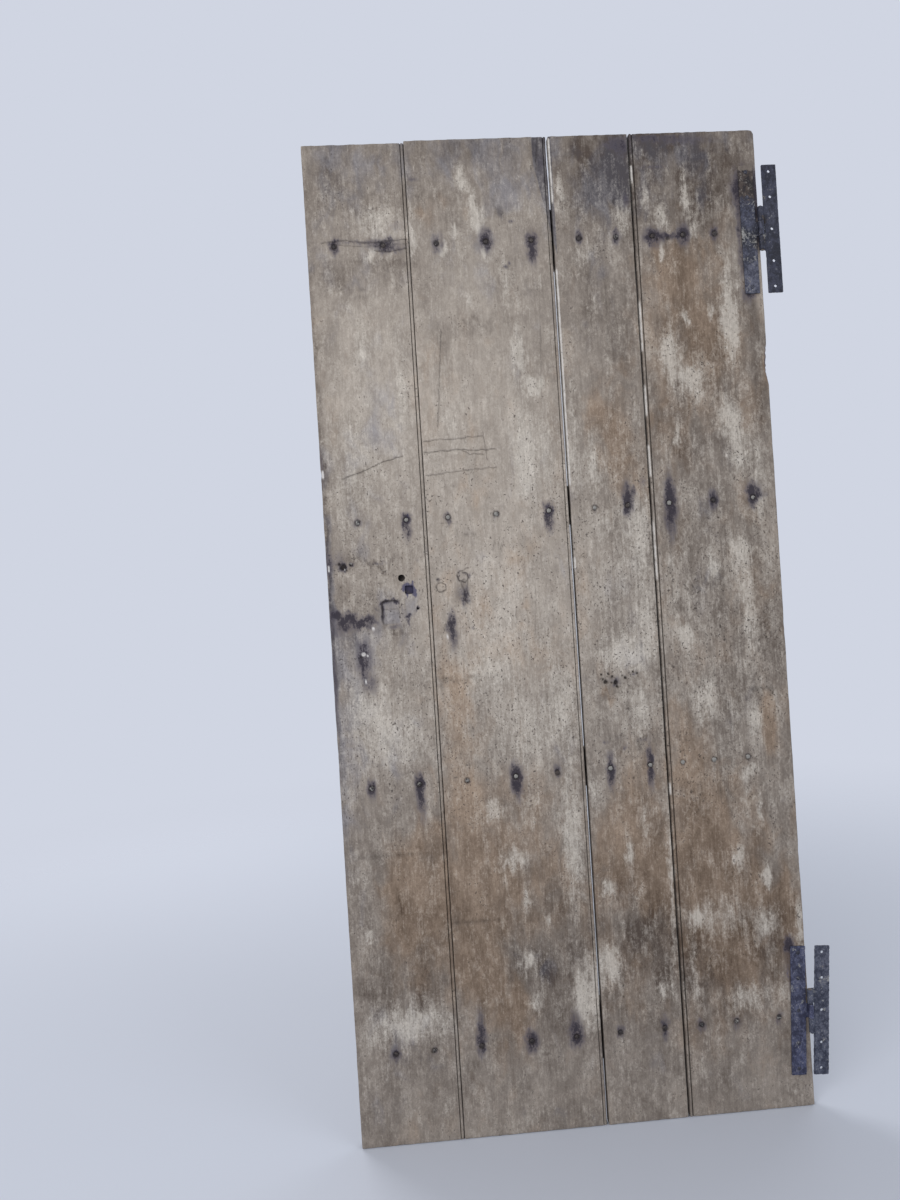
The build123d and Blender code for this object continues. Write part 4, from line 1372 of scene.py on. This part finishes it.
def aged_wood(name, shift, grain_axis):
    """Bare old pine. The first colour attribute holds tone, limewash, stain and warmth; in holes and joints
    its tone is painted shade, and in the white joints its limewash is also painted light.

    The second holds painted shade in hollows, cracks, quirks and joints together with the nails' rust rings,
    then specks, blue paint, and white plugs that also carry the white joints' painted light.
    """
    paint = Paint(name)

    def size(across, along):
        return [along if axis == grain_axis else across for axis in range(3)]

    tone, lime, stain, warmth = paint.channels("patina_and_shading")
    dark, specks, blue, white = paint.channels("marks_and_shading")
    scratches = paint.noise(size(2.6, 34), shift, 2.0, 0.5, 0.4)
    streaks = paint.noise(size(7.0, 120), shift, 3.0, 0.6, 0.3)
    broad = paint.noise(size(70, 120), shift, 3.0)
    blotch = paint.noise(size(26, 44), shift, 4.0, 0.62, 0.6)
    mottle = paint.noise(size(9, 15), shift, 3.0, 0.60, 0.8)
    grit = paint.noise(size(3.4, 4.4), shift, 3.0, 0.70, 0.8)
    tinted = paint.noise(size(34, 62), [value + 5.0 for value in shift], 3.0, 0.55, 0.7)

    # The bare wood
    texture = paint.swung(0.0, ((scratches, 0.24), (streaks, 0.22), (mottle, 0.28), (grit, 0.44)))
    tone = paint.plus(tone, texture)
    peeled = paint.step(paint.plus(blotch, paint.scaled(mottle, 0.4)), 0.44, 0.56)
    tone = paint.swung(tone, ((broad, 0.30), (blotch, 0.27), (peeled, 0.05)))
    tone = paint.math("MINIMUM", paint.math("MAXIMUM", tone, 0.0), 1.0)
    colour = paint.between(tone, wood_shades)
    cool = paint.between(tone, cool_wood_shades)
    warm = paint.between(tone, warm_wood_shades)
    hue = paint.plus(warmth, paint.plus(paint.scaled(broad, 0.30), paint.scaled(tinted, 0.50)))
    colour = paint.mix(paint.step(hue, 0.46, 0.20), colour, cool)
    colour = paint.mix(paint.step(hue, 0.50, 0.85), colour, warm)

    # Limewash: a thin veil, and flakes of what is left of it. In the white stretches of the joints it also
    # paints light coming through from behind
    layers = ((blotch, 0.46), (mottle, 0.60), (grit, 0.55), (scratches, 0.26), (streaks, 0.34))
    ragged = paint.swung(lime, layers)
    pale = paint.plus(0.62, paint.times(texture, 2.2))
    limewash = paint.between(pale, limewash_shades)
    colour = paint.cover(colour, paint.step(ragged, 0.06, 0.50), 0.36, limewash)
    flaking = paint.step(ragged, 0.34, 0.70)
    colour = paint.cover(colour, flaking, 0.56, limewash)

    # Small holes and scratches
    spots = paint.noise(size(3.7, 4.4), shift, 2.0, 0.5, 0.5)
    thick = paint.plus(specks, paint.plus(paint.scaled(blotch, 2.0), paint.scaled(broad, 1.0)))
    holes = paint.times(paint.step(spots, 0.625, 0.685), paint.step(thick, 0.38, 0.85))
    colour = paint.cover(colour, holes, 0.75, srgb(*pinhole_shade))
    ticks = paint.step(paint.plus(scratches, paint.scaled(blotch, 0.3)), 0.64, 0.72)
    colour = paint.cover(colour, ticks, 0.30, srgb(*scratch_shade))

    # Iron stains, blue paint, painted shade in the hollows and joints with the nails' rust rings, and white
    # plugs with the white joints' painted light
    swing = paint.plus(paint.scaled(mottle, 2.0), paint.scaled(grit, 2.4))
    rusty = paint.times(stain, paint.plus(1.0, swing))
    colour = paint.cover(colour, paint.step(rusty, 0.04, 0.55), 0.66, srgb(*faint_stain_shade))
    colour = paint.cover(colour, paint.step(rusty, 0.40, 0.90), 0.88, srgb(*black_stain_shade))
    painted = paint.times(blue, paint.plus(1.0, paint.times(swing, 0.7)))
    colour = paint.cover(colour, paint.step(painted, 0.26, 0.80), 0.80, srgb(*blue_paint_shade))
    colour = paint.cover(colour, dark, 0.92, srgb(*shadow_and_rust_ring_shade))
    plugged = paint.times(white, paint.plus(0.85, paint.scaled(grit, 1.2)))
    colour = paint.mix(plugged, colour, srgb(*plug_shade))

    height = paint.times(streaks, 0.3)
    for layer, rise in ((scratches, 0.4), (grit, 0.5), (mottle, 0.3), (flaking, 0.25), (holes, -0.8)):
        height = paint.plus(height, paint.times(layer, rise))
    roughness = paint.plus(0.80, paint.scaled(blotch, 0.25))
    return paint.finish(colour, roughness, height, wood_bump)


def old_iron(name, shift, shades, dust, rust):
    """Dark iron between two shades, with shares of pale dust and rust.

    The zones attribute holds crust, pale lumps, worn paint and dirt. Pieces without it have none.
    """
    paint = Paint(name)
    crust, pale, worn, dirt = paint.channels("zones")
    blotch = paint.noise((24, 24, 34), shift, 4.0, 0.62, 0.6)
    flakes = paint.noise((8, 8, 10), shift, 4.0, 0.62, 0.6)
    grit = paint.noise((3.0, 3.0, 3.4), shift, 3.0, 0.65, 0.6)
    mixed = paint.plus(blotch, paint.plus(paint.scaled(flakes, 0.9), paint.scaled(grit, 0.6)))
    colour = paint.between(paint.step(mixed, 0.32, 0.68), shades)
    scraped = paint.between(paint.step(mixed, 0.25, 0.75), worn_iron_shades)
    colour = paint.cover(colour, worn, 0.8, scraped)
    rusted = paint.step(paint.plus(flakes, paint.scaled(blotch, 0.6)), 0.68 - rust, 0.80 - rust)
    colour = paint.cover(colour, rusted, 0.6, srgb(*rust_shade))
    crusty = paint.step(paint.plus(crust, paint.scaled(flakes, 1.0)), 0.30, 0.70)
    baked = paint.between(paint.step(mixed, 0.36, 0.66), crust_shades)
    colour = paint.mix(crusty, colour, baked)
    cluster = paint.plus(paint.scaled(blotch, 0.5), paint.scaled(flakes, 0.5))
    specks = paint.step(paint.plus(grit, cluster), 0.74 - dust, 0.80 - dust)
    lumps = paint.plus(pale, paint.plus(paint.scaled(grit, 1.8), paint.scaled(flakes, 1.6)))
    bright = paint.math("MAXIMUM", paint.times(specks, 0.60), paint.step(lumps, 0.36, 0.66))
    colour = paint.cover(colour, bright, 0.78, srgb(*lump_shade))
    caked = paint.step(paint.plus(dirt, paint.scaled(flakes, 1.0)), 0.30, 0.60)
    colour = paint.mix(caked, colour, paint.between(mixed, dirt_shades))
    rough = paint.math("MAXIMUM", paint.math("MAXIMUM", rusted, crusty), caked)
    roughness = paint.plus(0.56, paint.times(rough, 0.26))
    height = paint.plus(paint.times(grit, 0.6), paint.times(flakes, 0.9))
    height = paint.plus(height, paint.times(bright, 0.3))
    metallic = paint.times(paint.step(rough, 1.0, 0.0), 0.30)
    return paint.finish(colour, roughness, height, iron_bump, metallic, 0.5)


def give(piece, material):
    """Makes it a piece's only material."""
    piece.data.materials.clear()
    piece.data.materials.append(material)


def make_studio():
    """A pale round floor, that fades into the background far from the door."""
    floor_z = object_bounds()[0][2] / MM - floor_drop
    middle_x = (cad_bounds[0].x + cad_bounds[1].x) / 2 / MM
    turns = np.linspace(0, 2 * math.pi, floor_sides, endpoint=False)
    rings = [(radius * np.cos(turns), radius * np.sin(turns)) for radius in (1500.0, 3000.0, floor_radius)]
    points = [(x, y, 0) for ring in rings for x, y in zip(*ring)]
    numbers = ring_numbers(0, floor_sides, len(rings))
    faces = numbers[:1]
    for inner, outer in zip(numbers, numbers[1:]):
        faces += wall_faces(inner, outer)
    stage = make_mesh("floor", points, faces, sharp=80.0)
    stage.location = (middle_x * MM, 0, floor_z * MM)
    paint = Paint("floor_paint")
    matt = paint.add("ShaderNodeBsdfDiffuse")
    matt.inputs["Color"].default_value = srgb(*paper_shade)
    clear = paint.add("ShaderNodeBsdfTransparent")
    reach = paint.add("ShaderNodeVectorMath", operation="LENGTH")
    paint.set(reach.inputs[0], paint.place)
    blend = paint.add("ShaderNodeMixShader")
    paint.set(blend.inputs[0], paint.step(reach.outputs["Value"], 0.9, floor_radius * MM))
    paint.set(blend.inputs[1], matt.outputs[0])
    paint.set(blend.inputs[2], clear.outputs[0])
    output = paint.add("ShaderNodeOutputMaterial")
    paint.set(output.inputs["Surface"], blend.outputs[0])
    give(stage, paint.material)


def add_lamp(name, place, target, size, power, colour):
    """A rectangular lamp that shines at a target, and isn't seen itself."""
    lamp = bpy.data.lights.new(name, "AREA")
    lamp.shape = "RECTANGLE"
    lamp.size, lamp.size_y = size
    lamp.energy = power
    lamp.color = colour
    holder = bpy.data.objects.new(name, lamp)
    holder.location = place
    holder.rotation_euler = (Vector(target) - Vector(place)).to_track_quat("-Z", "Y").to_euler()
    holder.visible_camera = False
    bpy.context.scene.collection.objects.link(holder)


def light_studio():
    """A large window to the left, a fill to the right, a softer pair behind, and a pale room."""
    lamps = (
        ("window", (-2.6, -3.4, 0.6), -0.7, (2.6, 2.6), 96, (1.0, 0.985, 0.96)),
        ("fill", (2.4, -3.0, 0.2), -0.9, (2.4, 2.8), 34, (0.96, 0.98, 1.0)),
        ("back_window", (-2.4, 3.2, 0.8), -0.8, (2.4, 2.4), 62, (1.0, 0.985, 0.97)),
        ("back_fill", (2.2, 2.8, 0.4), -0.8, (2.2, 2.4), 22, (0.97, 0.985, 1.0)),
    )
    for name, place, aim_height, size, power, colour in lamps:
        add_lamp(name, place, (aim_across, 0, aim_height), size, power, colour)
    world = bpy.data.worlds.new("room")
    world.use_nodes = True
    nodes, links = world.node_tree.nodes, world.node_tree.links
    light = nodes["Background"]
    light.inputs["Color"].default_value = room_colour
    light.inputs["Strength"].default_value = room_strength
    seen = nodes.new("ShaderNodeBackground")
    seen.inputs["Color"].default_value = srgb(*paper_shade)
    seen.inputs["Strength"].default_value = 1.0
    ray = nodes.new("ShaderNodeLightPath")
    shown = ray.outputs["Is Camera Ray"]
    for other in ("Is Glossy Ray", "Is Transmission Ray"):
        either = nodes.new("ShaderNodeMath")
        either.operation = "MAXIMUM"
        links.new(shown, either.inputs[0])
        links.new(ray.outputs[other], either.inputs[1])
        shown = either.outputs[0]
    blend = nodes.new("ShaderNodeMixShader")
    links.new(shown, blend.inputs[0])
    links.new(light.outputs[0], blend.inputs[1])
    links.new(seen.outputs[0], blend.inputs[2])
    links.new(blend.outputs[0], nodes["World Output"].inputs["Surface"])
    bpy.context.scene.world = world


def place_camera():
    """The photograph's view, fitted to the door's edges, joints and nail rows."""
    place = Vector((-0.8074, -1.7800, -0.7187))
    ahead = Vector((0.0603, 0.9982, 0.0039)).normalized()
    up = Vector((0.0617, -0.0077, 0.9981))
    right = ahead.cross(up).normalized()
    up = right.cross(ahead)
    data = bpy.data.cameras.new("camera")
    data.sensor_fit = "VERTICAL"
    data.sensor_height = frame_height
    data.lens = lens_length
    data.clip_start = 0.02
    camera = bpy.data.objects.new("camera", data)
    camera.matrix_world = Matrix.Translation(place) @ Matrix((right, up, -ahead)).transposed().to_4x4()
    bpy.context.scene.collection.objects.link(camera)
    bpy.context.scene.camera = camera


place_camera()
bpy.context.scene.view_settings.view_transform = "Standard"
light_studio()

for index, board in enumerate(board_names):
    piece = make_board(board, 100 * index + 11)
    give(piece, aged_wood(f"{board}_wood", (3.7 * index + 1, 5.1 * index, 2.3 * index), 2))
for index, ledge in enumerate(ledge_names):
    piece = make_ledge(ledge, 100 * index + 611)
    give(piece, aged_wood(f"{ledge}_wood", (2.9 * index, 4.3 * index + 2, 1.9 * index), 0))

nail_iron = old_iron("nail_iron", (1, 2, 3), nail_shades, 0.06, 0.10)
for row in range(len(ledge_names)):
    give(make_nails(row, 20 * row + 3), nail_iron)
leaf_nail_iron = old_iron("leaf_nail_iron", (5, 1, 4), leaf_nail_shades, 0.08, 0.06)
for side in ("upper", "lower"):
    give(make_hinge_nails(f"{side}_hinge_nails", 7), leaf_nail_iron)

# Each door or frame leaf, its body, its shades, and its shares of pale dust and rust
leaves = (
    ("upper_door_leaf", "door", ((24, 24, 33), (64, 67, 86)), 0.10, 0.06),
    ("upper_frame_leaf", "upper_frame_leaf", ((25, 26, 37), (54, 56, 72)), 0.07, 0.02),
    ("lower_door_leaf", "door", ((42, 44, 66), (84, 88, 116)), 0.12, 0.02),
    ("lower_frame_leaf", "lower_frame_leaf", ((44, 48, 64), (90, 94, 110)), 0.11, 0.02),
)
for index, (node, body, shades, dust, rust) in enumerate(leaves):
    leaf_iron = old_iron(f"{node}_iron", (4.1 * index, 1.3, 2.2), shades, dust, rust)
    give(make_leaf(node, body, index + 1), leaf_iron)
for node in ("upper_hinge_pin", "lower_hinge_pin"):
    give(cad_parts[node], old_iron(f"{node}_iron", (9, 4, 1), pin_shades, 0.03, 0.03))
make_studio()
